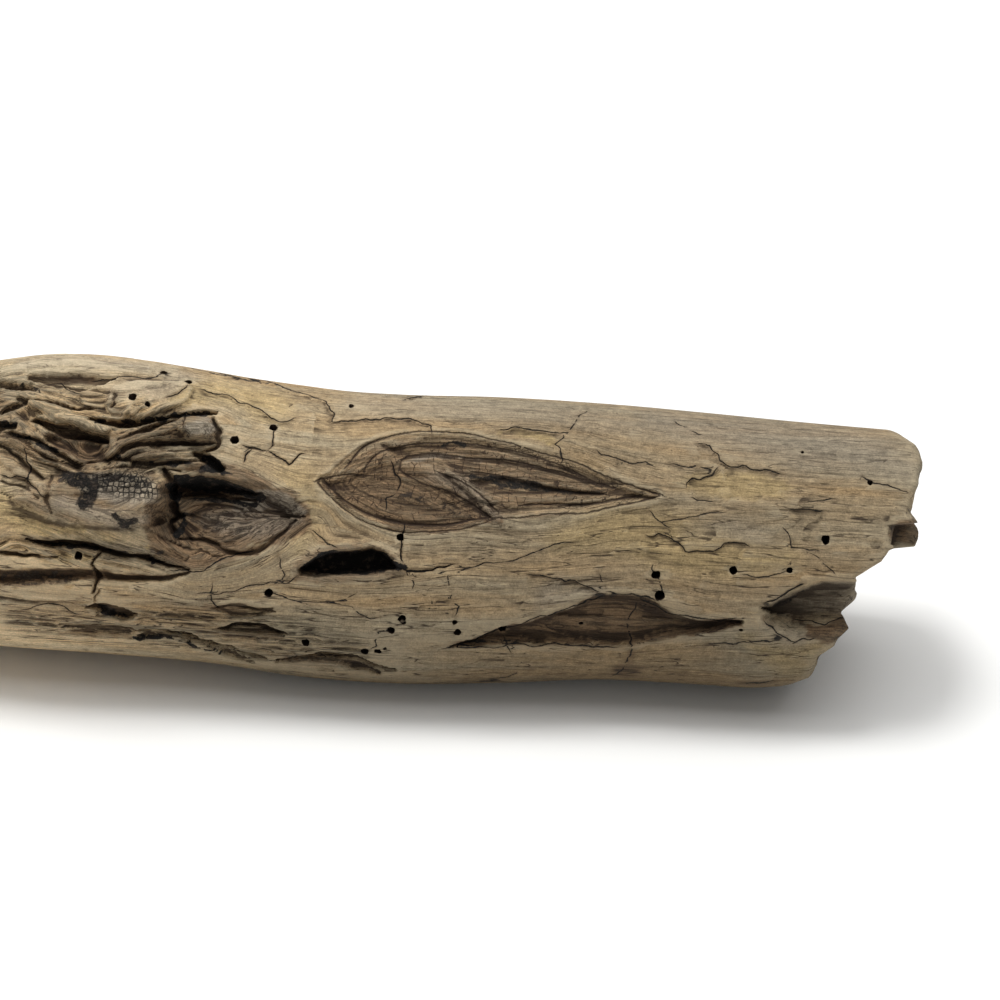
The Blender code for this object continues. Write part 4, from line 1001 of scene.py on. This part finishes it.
ROT_STAINS = [(BOTH_KNOTS, 0.45, 1.0), (widened(BOTH_KNOTS, -2.4), 0.7, 2), (KNOT_LEFT, 0.8, 1.5),
    (HOLLOW, 0.92, 2), ([(93, -22, 2), (99.5, -21.5, 3), (104, -19.5, 3)], 0.95, 1),
    ([(-132.5, 23.5, 1.5), (-126.5, 21.5, 3.5), (-120.5, 19.5, 4), (-117, 19, 1.5)], 0.9, 2),
    ([(-150, 30, 6), (-143, 25, 6), (-136, 20, 4), (-128, 16, 3), (-118, 15, 2)], 0.55, 3),
    ([(-146, 17, 2.5), (-140, 13, 2), (-133, 9, 2)], 0.5, 3), ([(-90, 16.5, 2), (-80, 16, 2.5),
    (-75, 14.5, 2), (-68, 12.5, 1)], 0.8, 2), ([(-91.5, -8, 1.5), (-82.5, -8.5, 2.5), (-74, -7, 2),
    (-64, -3, 1)], 0.75, 2.5), (PEEL, 0.85, 0.8), ([(39.5, -14.5, 1.5), (40, -21, 2),
    (40.5, -30, 1.8), (39.5, -36.5, 1.5)], 0.6, 2), ([(77, -15, 1), (82.5, -14, 2), (91.5, -12, 4),
    (101.5, -11, 5), (110, -9, 5)], 0.3, 1.5), ([(117.5, 9, 3.5), (121, 8.5, 4)], 0.85, 1),
    ([(-82.5, -31.5, 1), (-73.5, -31, 2), (-63, -31.5, 1.5)], 0.6, 3), ([(-84.5, -24, 1),
    (-80, -24.5, 1.5), (-73.5, -24, 1)], 0.7, 2), ([(-128.5, -34, 1), (-116.5, -33.5, 1.5),
    (-107.5, -34, 1)], 0.6, 3), ([(-152, -27, 8), (-112, -28, 8), (-72, -30, 6)], 0.38, 8),
    ([(-62, -38.5, 1), (-48, -38, 1.5), (-36, -39, 1)], 0.7, 2), ([(-135, 40.5, 1),
    (-123, 40.5, 1.5)], 0.7, 1.5), ([(37, -36, 2), (40.5, -37, 2), (43.5, -35.5, 1)], 0.7, 2),
    ([(73, -38.5, 1), (84, -37.8, 1)], 0.5, 2), (widened(SLOT, 2), 0.7, 2.5),
    (widened(TWISTED_STUB, 1), 0.6, 2.5), (widened(LONG_CRACK, 1), 0.6, 2), (LOW_STRAND, 0.6, 2),
    (widened(BRANCH_FACE, -1), 0.6, 4), (DARK_GROOVE, 0.9, 1.5), ([(-150, 36, 1), (-135, 37, 1.5),
    (-120, 36, 1.5), (-112, 31.5, 2)], 0.4, 2)]
SILVER_STAINS = [([(-76, 5.5, 2.5), (-71.5, 7.5, 3.2), (-67, 8.5, 3), (-62, 7, 2.5),
    (-57.5, 5.5, 1)], 0.75, 1.5), ([(-86, 1.5, 2), (-80, 1.5, 4), (-73, 1.5, 4.5), (-65.5, 1.5, 3.5),
    (-59.5, 3.5, 1.5)], 0.45, 4), ([(-119.5, 9.5, 2.5), (-115, 10, 4), (-109.5, 9.5, 4.5),
    (-104, 9, 3.5), (-101.5, 8.5, 2)], 0.75, 2), ([(-127.5, 4.5, 2), (-119.5, 2, 2.5),
    (-110.5, 0.5, 2.5), (-103, 1, 1)], 0.5, 3), ([(-91.5, 28, 2), (-88, 28.5, 2.5),
    (-86, 29, 1.5)], 0.9, 1.5), ([(-115.5, 37.5, 2), (-108, 39, 3), (-101, 38.5, 3),
    (-97, 41, 2)], 0.4, 3), ([(-145, 44, 1.5), (-133.5, 46.5, 2), (-118.5, 46, 2), (-106.5, 45.5, 2),
    (-91.5, 43.5, 1)], 0.4, 3), ([(42.5, 38, 4), (63.5, 36, 6), (87, 33, 7), (110.5, 31.5, 6),
    (118, 28.5, 4)], 0.5, 12), ([(-45, 38, 3), (-20, 38, 4), (10, 38, 4), (40, 36, 3)], 0.35, 8),
    ([(18, -12, 2.5), (12.5, -16.5, 2.5), (30, -12.5, 1.5)], 0.4, 4), ([(-117.5, -7, 0.6),
    (-110.5, -7.5, 0.6), (-101.5, -8.5, 0.6)], 0.4, 1.5), ([(-54, -12.5, 0.5), (-47.5, -11, 1),
    (-40, -11, 1), (-35.5, -9, 0.5)], 0.35, 1.5), ([(-29, 21.5, 0.3), (-23, 23.5, 0.5),
    (-16, 24, 0.5), (-5.5, 23.5, 0.3)], 0.6, 1), ([(-21.5, 18, 1), (-14, 17, 2.5), (-6.5, 11.5, 2.5),
    (-2, 7.5, 1)], 0.35, 4), ([(56, 5, 3), (66, 7, 3.5), (76, 5, 3)], 0.3, 6), ([(78, -20, 1),
    (84, -23, 2), (90, -24, 2)], 0.4, 3), ([(83, -15, 2), (94, -12, 4), (104, -11, 5)], 0.45, 4)]
HONEY_STAINS = [([(-97.5, 36, 2), (-89.5, 39, 3.5), (-79, 39, 3.5), (-68, 35, 4.5)], 0.7, 6),
    ([(-145, 3, 4), (-136.5, -1.5, 4), (-128, -6.5, 2.5), (-113, -5.5, 1)], 0.8, 5), ([(17.5, 1.5, 3),
    (34.5, 5, 6.5), (52.5, 1.5, 8), (70, -1.5, 5), (84.5, -1, 2.5)], 0.85, 9), ([(54.5, 19.5, 2),
    (62, 20, 3.5), (70.5, 20, 4), (81, 20, 2.5)], 0.9, 2.5), ([(-1.5, 32, 0.6), (2.5, 32.2, 1),
    (8.5, 31.5, 1.2), (13.5, 30, 1), (16, 29.5, 0.5)], 1.0, 1.2), ([(73.5, -25, 1), (81, -29.5, 3),
    (90.5, -30.5, 4), (94.5, -27, 2.5)], 0.7, 5), ([(-99.5, 10.5, 1), (-96, 13, 1.5),
    (-94, 14.5, 0.5)], 1.0, 1), ([(-97.5, 4, 1.5), (-95.5, 1, 2.2)], 1.0, 1), ([(-101.5, -7.5, 1),
    (-97, -8.5, 1.8), (-91.5, -9, 1)], 1.0, 1), ([(-128, -3.5, 1), (-121, -3, 1.2)], 0.9, 1.5),
    ([(-60, 14, 6), (-57, 4, 5), (-58, -4, 3)], 0.5, 8), ([(-127.5, -11.5, 1.5),
    (-118.5, -11, 1.8)], 0.6, 2)]


# %% Soaking the stains in, and the painted shade
def stained(stains):
    """How strong the strongest stain is at each place of the face."""
    edge = 1.0 * cloud(plain_places, (5, 2, 4), seed=41) + 0.9 * cloud(plain_places, (1.8, 1, 1.6), seed=42)
    strongest = np.zeros(len(log_along))
    for course, strength, softness in stains:
        inside = inside_stroke(flowing(course), log_along, log_up)[0] + 0.8 * edge
        strongest = np.maximum(strongest, strength * ease(0.5 + inside / softness))
    return strongest


def cavities(mesh, rounds):
    """How far each point lies under its neighbours, once those are smoothed, in millimetres."""
    ends = np.empty(len(mesh.edges) * 2, np.int32)
    mesh.edges.foreach_get("vertices", ends)
    first, second = ends.reshape(-1, 2).T
    where = coordinates.copy()
    way_out = np.empty(len(mesh.vertices) * 3, np.float32)
    mesh.vertices.foreach_get("normal", way_out)
    neighbours = np.bincount(ends, minlength=len(where))[:, None]
    for _ in range(rounds):
        around = [np.bincount(first, where[second, axis], len(where))
                  + np.bincount(second, where[first, axis], len(where)) for axis in range(3)]
        where = 0.5 * where + 0.5 * np.stack(around, axis=1) / neighbours
    return ((where - coordinates) * way_out.reshape(-1, 3)).sum(axis=1) / MM


# The hollow values darken the finish in hollows, partly dirt and partly painted shade, and bleach the
# ridges.
fine_hollow, wide_hollow = cavities(wood_mesh, 10), cavities(wood_mesh, 70)
give("hollow", np.clip(1.8 * fine_hollow + 0.4 * wide_hollow, -2, 2) * (0.5 + 0.5 * face_share))
print("hollows, mm:", np.round(np.percentile(fine_hollow, [2, 50, 98]), 2),
      np.round(np.percentile(wide_hollow, [2, 50, 98]), 2))
on_back_knot = ease(in_back_knot / 2 + 0.5)
give("black_stain_and_shade", stained(BLACK_AND_SHADE_STAINS) * face_share)
give("rot", np.where(faces_viewer, stained(ROT_STAINS) * face_share, 0.85 * on_back_knot))
give("silver", stained(SILVER_STAINS) * face_share)
give("honey", stained(HONEY_STAINS) * face_share)
crackle_course = [(-117, 10.5, 2.5), (-112, 10.8, 3.8), (-106, 10.6, 4.4), (-101.5, 9.5, 3)]
give("crackle", ease(0.5 + inside_stroke(crackle_course, log_along, log_up)[0] / 4) * face_share)
print("stains:", len(BLACK_AND_SHADE_STAINS), "char,", len(ROT_STAINS), "rot,", len(SILVER_STAINS), "silver,",
      len(HONEY_STAINS), "honey")


# %% [markdown]
# ## The finish: weathered driftwood
#
# Driftwood is a soft wood that salt, sun and sand have worn for years. It has no bark and no polish, so
# it scatters light evenly: metallic 0, an index of refraction near 1.5 and a roughness near 0.85. Its
# colour runs from grey tan to warm tan in long streaks, with mottling, and silver lies even over the
# rot. Lines of dark late wood lie a fraction of a millimetre apart, whatever is deep or hollow is
# painted darker, partly dirt and partly painted shade, and cracks and pores break it.

# %% Colours
def linear(code):
    """A colour for a shader from an sRGB hex code."""
    parts = [int(code[at:at + 2], 16) / 255 for at in (1, 3, 5)]
    return tuple(p / 12.92 if p <= 0.04045 else ((p + 0.055) / 1.055) ** 2.4 for p in parts) + (1.0,)


GREY_TAN, WARM_TAN = linear("#ad9d80"), linear("#b69a72")
HONEY, SILVER, BLEACHED = linear("#bfa677"), linear("#a79c8b"), linear("#cdbd9e")
ROT_BROWN, DEEP_BROWN = linear("#7a6248"), linear("#34261b")
# The two darkest colours paint the char strokes, partly char and partly painted shade; the near black also
# draws the cracks and crackle gaps.
DARK_GREY_BROWN, NEAR_BLACK = linear("#4b4036"), linear("#14110e")
print("bare wood, linear:", np.round(WARM_TAN[:3], 3))

# %% What the mesh tells the finish
WOOD.use_nodes = True
wood = WOOD.node_tree
shader = wood.nodes["Principled BSDF"]
shader.inputs["Roughness"].default_value = 0.85
shader.inputs["IOR"].default_value = 1.5
shader.inputs["Specular IOR Level"].default_value = 0.3

place = add_node(wood, "ShaderNodeTexCoord", out="Object")
low_place = add_node(wood, "ShaderNodeSeparateXYZ", sockets={"Vector": place})
grain = add_node(wood, "ShaderNodeAttribute", {"attribute_name": "grain"}, out="Vector")
value = {"along": low_place.outputs["X"], "height": low_place.outputs["Z"]}
for name in ("honey", "silver", "rot", "black_stain_and_shade", "torn", "knot", "sunk", "hollow", "crack_side", "crack_near",
             "crack_width", "ring_side", "ring_near", "crackle", "bored"):
    value[name] = add_node(wood, "ShaderNodeAttribute", {"attribute_name": name}, out="Fac")
print("values from the mesh:", ", ".join(value))

# %% [markdown]
# Five noises are stretched along the grain: broad streaks, late wood, fibres, the lines of the hair
# cracks and the patches that have them. Two more are the same in every direction: a jitter that frays
# every edge, and grit.

# %% Noise
NOISES = {
    # name: what it is laid on, how it is stretched, detail, roughness, distortion
    "broad": (grain, (0.012, 0.07, 0.07), 3.0, 0.55, 0.4),
    "late wood": (grain, (0.035, 0.95, 0.95), 6.0, 0.72, 0.6),
    "fibres": (grain, (0.22, 3.0, 3.0), 4.0, 0.65, 0.0),
    "hair": (grain, (0.03, 0.36, 0.36), 2.5, 0.5, 0.35),
    "patches": (grain, (0.05, 0.16, 0.16), 3.0, 0.6, 0.0),
    "jitter": (place, (420.0, 420.0, 420.0), 5.0, 0.68, 0.0),
    "grit": (place, (1900.0, 1900.0, 1900.0), 3.0, 0.7, 0.0),
}
for name, (laid_on, stretch, detail, roughness, distortion) in NOISES.items():
    stretched = add_node(wood, "ShaderNodeMapping", sockets={"Vector": laid_on, "Scale": stretch}, out=0)
    value[name] = add_node(wood, "ShaderNodeTexNoise", sockets={
        "Vector": stretched, "Scale": 1.0, "Detail": detail, "Roughness": roughness,
        "Distortion": distortion}, out=0)
print(len(NOISES), "noises")

# %% [markdown]
# Cells of a Voronoi texture give what has corners: short checks across the knots, the crackled blocks
# of the old branch, and pores.

# %% Checks, blocks and pores
CELLS = {
    # name: feature, what it is laid on, how it is stretched, turn, randomness
    "checks": ("DISTANCE_TO_EDGE", grain, (1 / CHECK_EVERY, 0.12, 0.12), (0, 0, 0), 0.85),
    "blocks": ("DISTANCE_TO_EDGE", place, (640, 640, 640), (0.61, 0, 0.05), 0.42),
    "pores": ("F1", grain, (0.28, 0.62, 0.62), (0, 0, 0), 1.0),
}
for name, (feature, laid_on, stretch, turn, randomness) in CELLS.items():
    stretched = add_node(wood, "ShaderNodeMapping", sockets={
        "Vector": laid_on, "Scale": stretch, "Rotation": turn}, out=0)
    cells = add_node(wood, "ShaderNodeTexVoronoi", {"feature": feature}, {
        "Vector": stretched, "Scale": 1.0, "Randomness": randomness})
    value[name] = cells.outputs["Distance"]
value["pore tint"] = cells.outputs["Color"]
print(len(CELLS), "cell textures")

# %% [markdown]
# The rest is arithmetic. Each row below makes one new value from older ones. LINEAR and SMOOTHSTEP are
# Map Range nodes: they turn a value between the first two numbers into one between the last two, or
# between 0 and 1 where those are left out. Every other word is the operation of a Math node.

# %% Shares worked out from the values
SHARES = [
    ("warm", "LINEAR", "broad", 0.36, 0.64),
    # The char is partly dark char and partly painted shade in the cuts.
    ("ragged_black_and_shade", "MULTIPLY_ADD", "jitter", 1.5, "black_stain_and_shade"),
    ("blackened_and_shaded", "SMOOTHSTEP", "ragged_black_and_shade", 1.10, 1.42),
    ("ragged rot", "MULTIPLY_ADD", "jitter", 0.9, "rot"),
    ("rotten", "SMOOTHSTEP", "ragged rot", 0.5, 1.4, 0.0, 0.97),
    ("late share", "LINEAR", "late wood", 0.30, 0.66, 0.62, 1.14),
    ("fibre share", "LINEAR", "fibres", 0.3, 0.7, 0.74, 1.2),
    ("grit share", "LINEAR", "grit", 0.32, 0.68, 0.74, 1.22),
    ("mottling", "LINEAR", "jitter", 0.34, 0.66, 0.78, 1.20),
    # Torn and rotten wood comes apart into fibres.
    ("torn fibres", "SMOOTHSTEP", "late wood", 0.40, 0.55, 0.26, 1.30),
    ("rot frays", "MULTIPLY", "rotten", 0.6),
    ("frayed", "MAXIMUM", "torn", "rot frays"),
    # What is deep or hollow is painted deep brown, partly dirt and partly painted shade. The ridges bleach,
    # but not where the wood is rotten.
    ("ragged depth", "MULTIPLY_ADD", "jitter", 3.0, "sunk"),
    ("deep_dirt_and_shade", "SMOOTHSTEP", "ragged depth", 5.0, 13.0, 0.0, 0.3),
    ("hollow_grime_and_shade", "SMOOTHSTEP", "hollow", 0.05, 0.75, 0.0, 0.78),
    ("ridged", "SMOOTHSTEP", "hollow", -0.1, -0.9, 0.0, 0.36),
    ("sound", "MULTIPLY_ADD", "rotten", -0.8, 1.0),
    ("bleached", "MULTIPLY", "ridged", "sound"),
    # A hair crack is where its noise passes through the middle. High up, the sea has washed them faint.
    ("hair off", "SUBTRACT", "hair", 0.5),
    ("hair width", "ABSOLUTE", "hair off"),
    ("hair line", "SMOOTHSTEP", "hair width", 0.002, 0.017, 1.0, 0.0),
    ("patchy", "SMOOTHSTEP", "patches", 0.40, 0.52),
    ("hairs", "MULTIPLY", "hair line", "patchy"),
    ("washed", "SMOOTHSTEP", "height", 0.055, 0.078, 0.9, 0.45),
    ("faint hairs", "MULTIPLY", "hairs", "washed"),
    # A drawn crack is a thin line where the distance to it changes sign, with a brown edge.
    ("jitter mm", "MULTIPLY_ADD", "jitter", 1.6, -0.8),
    ("crack shaken", "MULTIPLY_ADD", "jitter mm", 0.55, "crack_side"),
    ("crack off", "ABSOLUTE", "crack shaken"),
    ("past edge", "SUBTRACT", "crack off", "crack_width"),
    ("crack line", "SMOOTHSTEP", "past edge", -0.04, 0.14, 1.0, 0.0),
    ("crack real", "SMOOTHSTEP", "crack_near", 0.9, 1.3, 1.0, 0.0),
    ("broken", "SMOOTHSTEP", "fibres", 0.36, 0.50, 0.75),
    ("has width", "LINEAR", "crack_width", 0.01, 0.06),
    ("crack here", "MULTIPLY", "crack line", "crack real"),
    ("crack tapered", "MULTIPLY", "crack here", "has width"),
    ("crack", "MULTIPLY", "crack tapered", "broken"),
    ("halo", "SMOOTHSTEP", "crack_near", 0.0, 1.1, 0.30, 0.0),
    # The knots: their edge, the measured rings, and the short checks that cross them.
    ("ring at", "ADD", "knot", "jitter mm"),
    ("in knot", "SMOOTHSTEP", "ring at", -0.3, 0.6),
    ("ring shaken", "MULTIPLY_ADD", "jitter mm", 0.8, "ring_side"),
    ("ring off", "ABSOLUTE", "ring shaken"),
    ("ring line", "SMOOTHSTEP", "ring off", 0.05, 0.42, 0.9, 0.0),
    ("ring real", "SMOOTHSTEP", "ring_near", 1.0, 1.5, 1.0, 0.0),
    ("ring", "MULTIPLY", "ring line", "ring real"),
    ("check line", "SMOOTHSTEP", "checks", 0.01, 0.06, 0.9, 0.0),
    ("check in", "SMOOTHSTEP", "knot", 0.9, 1.8),
    ("check places", "SMOOTHSTEP", "jitter", 0.47, 0.55),
    ("check some", "MULTIPLY", "check line", "check places"),
    ("check", "MULTIPLY", "check some", "check in"),
    # The gaps between crackled blocks, the pores and the lumps in the char and painted shade.
    ("block gap", "SMOOTHSTEP", "blocks", 0.03, 0.20, 1.0, 0.0),
    ("gap broken", "MULTIPLY", "block gap", "broken"),
    ("gap", "MULTIPLY", "gap broken", "crackle"),
    ("pore spot", "SMOOTHSTEP", "pores", 0.04, 0.12, 0.8, 0.0),
    ("some pores", "GREATER_THAN", "pore tint", 0.68),
    ("pore", "MULTIPLY", "pore spot", "some pores"),
    ("lumps", "SMOOTHSTEP", "jitter", 0.50, 0.68),
    # It gets darker towards the right, partly the wood's own tone and partly painted light falling off, and
    # most of all near the floor, painted shade. Its left end is paler, painted light that is strongest near
    # the floor.
    ("low_shade_and_light_at_floor", "SMOOTHSTEP", "along", -0.14, -0.02, 1.50, 0.50),
    ("painted_low_shade_and_light", "SMOOTHSTEP", "height", 0.0, 0.056, "low_shade_and_light_at_floor", 1.0),
    ("tone_and_light_along", "SMOOTHSTEP", "along", -0.15, 0.10, 1.30, 0.78),
    ("tone_and_light_low_and_along", "MULTIPLY", "painted_low_shade_and_light", "tone_and_light_along"),
    # Torn wood is rougher, for the relief.
    ("torn late wood", "MULTIPLY", "late wood", "torn"),
    ("torn fine", "MULTIPLY", "fibres", "torn"),
]
MAP_RANGE = ("Value", "From Min", "From Max", "To Min", "To Max")
for name, work, *given in SHARES:
    given = [value[item] if isinstance(item, str) else item for item in given]
    if work in ("LINEAR", "SMOOTHSTEP"):
        value[name] = add_node(wood, "ShaderNodeMapRange", {"interpolation_type": work},
                               dict(zip(MAP_RANGE, given)), 0)
    else:
        value[name] = add_node(wood, "ShaderNodeMath", {"operation": work}, dict(enumerate(given)), 0)
ring_place = add_node(wood, "ShaderNodeCombineXYZ", sockets={"X": value["ring at"]}, out=0)
ring_streaks = add_node(wood, "ShaderNodeTexNoise", sockets={
    "Vector": ring_place, "Scale": 1.5, "Detail": 3.0, "Roughness": 0.7}, out=0)
value["ring dark"] = add_node(wood, "ShaderNodeMapRange", {}, dict(zip(MAP_RANGE, (
    ring_streaks, 0.35, 0.62, 0.50, 1.45))), 0)
print(len(SHARES), "shares worked out")

# %% [markdown]
# The colour starts as bare wood. Then each row lays a colour over it, or darkens it by a value, as
# strongly as its share says. The order matters: rot lies under the late wood, the cracks lie over
# everything but the holes.

# %% Colours laid over one another
MIXED = {"data_type": "RGBA", "blend_type": "MIX"}
DARKENED = {"data_type": "RGBA", "blend_type": "MULTIPLY"}
black_and_shade_colour = add_node(wood, "ShaderNodeMix", MIXED, {0: value["lumps"], 6: NEAR_BLACK, 7: DARK_GREY_BROWN}, 2)
LAYERS = [
    (MIXED, "warm", WARM_TAN), (MIXED, "honey", HONEY),
    (MIXED, "rotten", ROT_BROWN), (MIXED, "silver", SILVER), (DARKENED, 1.0, "late share"),
    (DARKENED, 1.0, "fibre share"), (DARKENED, 1.0, "mottling"), (DARKENED, 1.0, "grit share"),
    (DARKENED, "frayed", "torn fibres"),
    # The deep brown over deep and hollow places is partly dirt and partly painted shade.
    (DARKENED, "in knot", "ring dark"), (MIXED, "deep_dirt_and_shade", DEEP_BROWN), (MIXED, "bleached", BLEACHED),
    (MIXED, "hollow_grime_and_shade", DEEP_BROWN), (MIXED, "pore", DEEP_BROWN), (MIXED, "faint hairs", DEEP_BROWN),
    (MIXED, "halo", ROT_BROWN), (MIXED, "ring", DEEP_BROWN), (MIXED, "check", DEEP_BROWN),
    # The near black over the char strokes is partly char and partly painted shade.
    (MIXED, "gap", NEAR_BLACK), (MIXED, "blackened_and_shaded", black_and_shade_colour), (MIXED, "crack", NEAR_BLACK),
    # The hole walls are painted deep brown, partly the tunnel's brown and partly painted shade inside the
    # holes.
    (MIXED, "bored", DEEP_BROWN), (DARKENED, 1.0, "tone_and_light_low_and_along"),
]
colour = GREY_TAN
for blend, share, laid in LAYERS:
    share, laid = [value[item] if isinstance(item, str) else item for item in (share, laid)]
    colour = add_node(wood, "ShaderNodeMix", blend, {0: share, 6: colour, 7: laid}, 2)
wood.links.new(colour, shader.inputs["Base Color"])
print(len(LAYERS), "layers of colour")

# %% Relief too fine for the mesh
HEIGHTS = {"late wood": 0.6, "fibres": 0.35, "hairs": -0.22, "crack": -0.5, "gap": -0.35, "jitter": 0.4,
           "grit": 0.28, "ring": -0.3, "torn late wood": 1.1, "torn fine": 0.5}
total = 0.0
for name, tall_mm in HEIGHTS.items():
    total = add_node(wood, "ShaderNodeMath", {"operation": "MULTIPLY_ADD"}, {
        0: value[name], 1: tall_mm, 2: total}, 0)
bump = add_node(wood, "ShaderNodeBump", {}, {"Strength": 1.0, "Distance": MM, "Height": total}, "Normal")
wood.links.new(bump, shader.inputs["Normal"])
print("the finish has", len(wood.nodes), "nodes")

# %% [markdown]
# ## Into the frame
#
# The finished piece stands for the imported solid, which is hidden, and rides on its only body.

# %% The finished piece
log = new_object("driftwood.fine", wood_mesh)
if not wood_mesh.materials:
    wood_mesh.materials.append(WOOD)
wood_mesh.polygons.foreach_set("use_smooth", np.ones(len(wood_mesh.polygons), bool))
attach(log, "root")
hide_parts("driftwood")
wood_mesh.calc_loop_triangles()
print(len(wood_mesh.loop_triangles), "triangles in the finished piece")

# %% [markdown]
# ## Floor, light and camera
#
# A pale matt floor, a large soft light above and a smaller one to its left, both a little behind, give
# the light of an open sky, bright on top and dark below. The camera looks square at the face through a
# long lens, turned a few degrees on its axis because the log was not level in the picture.


# %% Floor
def plain_material(name, code, roughness):
    material = bpy.data.materials.new(name)
    material.use_nodes = True
    material.node_tree.nodes["Principled BSDF"].inputs["Base Color"].default_value = linear(code)
    material.node_tree.nodes["Principled BSDF"].inputs["Roughness"].default_value = roughness
    return material


floor_mesh = bpy.data.meshes.new("floor")
floor_mesh.from_pydata([(-4, -4, -0.0003), (4, -4, -0.0003), (4, 4, -0.0003), (-4, 4, -0.0003)], [],
                       [(0, 1, 2, 3)])
floor_mesh.materials.append(plain_material("matt paper", "#f4f4f2", 0.9))
floor = new_object("floor", floor_mesh)

# %% Light
sky = bpy.data.worlds.new("pale room")
sky.use_nodes = True
sky.node_tree.nodes["Background"].inputs["Color"].default_value = (1, 1, 1, 1)
sky.node_tree.nodes["Background"].inputs["Strength"].default_value = 0.32
bpy.context.scene.world = sky


def add_soft_box(name, width, depth, watts, where):
    """A rectangular lamp that looks at the log."""
    lamp = bpy.data.lights.new(name, "AREA")
    lamp.shape = "RECTANGLE"
    lamp.size, lamp.size_y = width, depth
    lamp.energy = watts
    soft_box = new_object(name, lamp)
    soft_box.location = where
    soft_box.rotation_euler = (-Vector(where)).to_track_quat("-Z", "Y").to_euler()


add_soft_box("ceiling", 2.2, 1.8, 19, (0, 0.20, 1.5))
add_soft_box("window", 0.5, 0.4, 12, (-0.35, 0.12, 1.45))

# %% Camera
AIM = (-0.64, 11.98, 0.0)
DISTANCE, FRAME_WIDTH, SENSOR = 1.2, 0.3, 36.0
ROLL = math.radians(3.07)
lens = bpy.data.cameras.new("camera")
lens.sensor_width = SENSOR
lens.lens = SENSOR * DISTANCE / FRAME_WIDTH
camera = new_object("camera", lens)
right = math.cos(ROLL) * ALONG + math.sin(ROLL) * UP_THE_FACE
upward = -math.sin(ROLL) * ALONG + math.cos(ROLL) * UP_THE_FACE
eye = in_world(np.array([AIM]))[0] + SET_DOWN + DISTANCE * FRONT
axes = np.stack([right, upward, FRONT, eye], axis=1)
camera.matrix_world = Matrix(np.vstack([axes, [0, 0, 0, 1]]).tolist())
bpy.context.scene.camera = camera
bpy.context.scene.view_settings.view_transform = "Standard"
print("camera", DISTANCE, "m away with a", lens.lens, "mm lens")
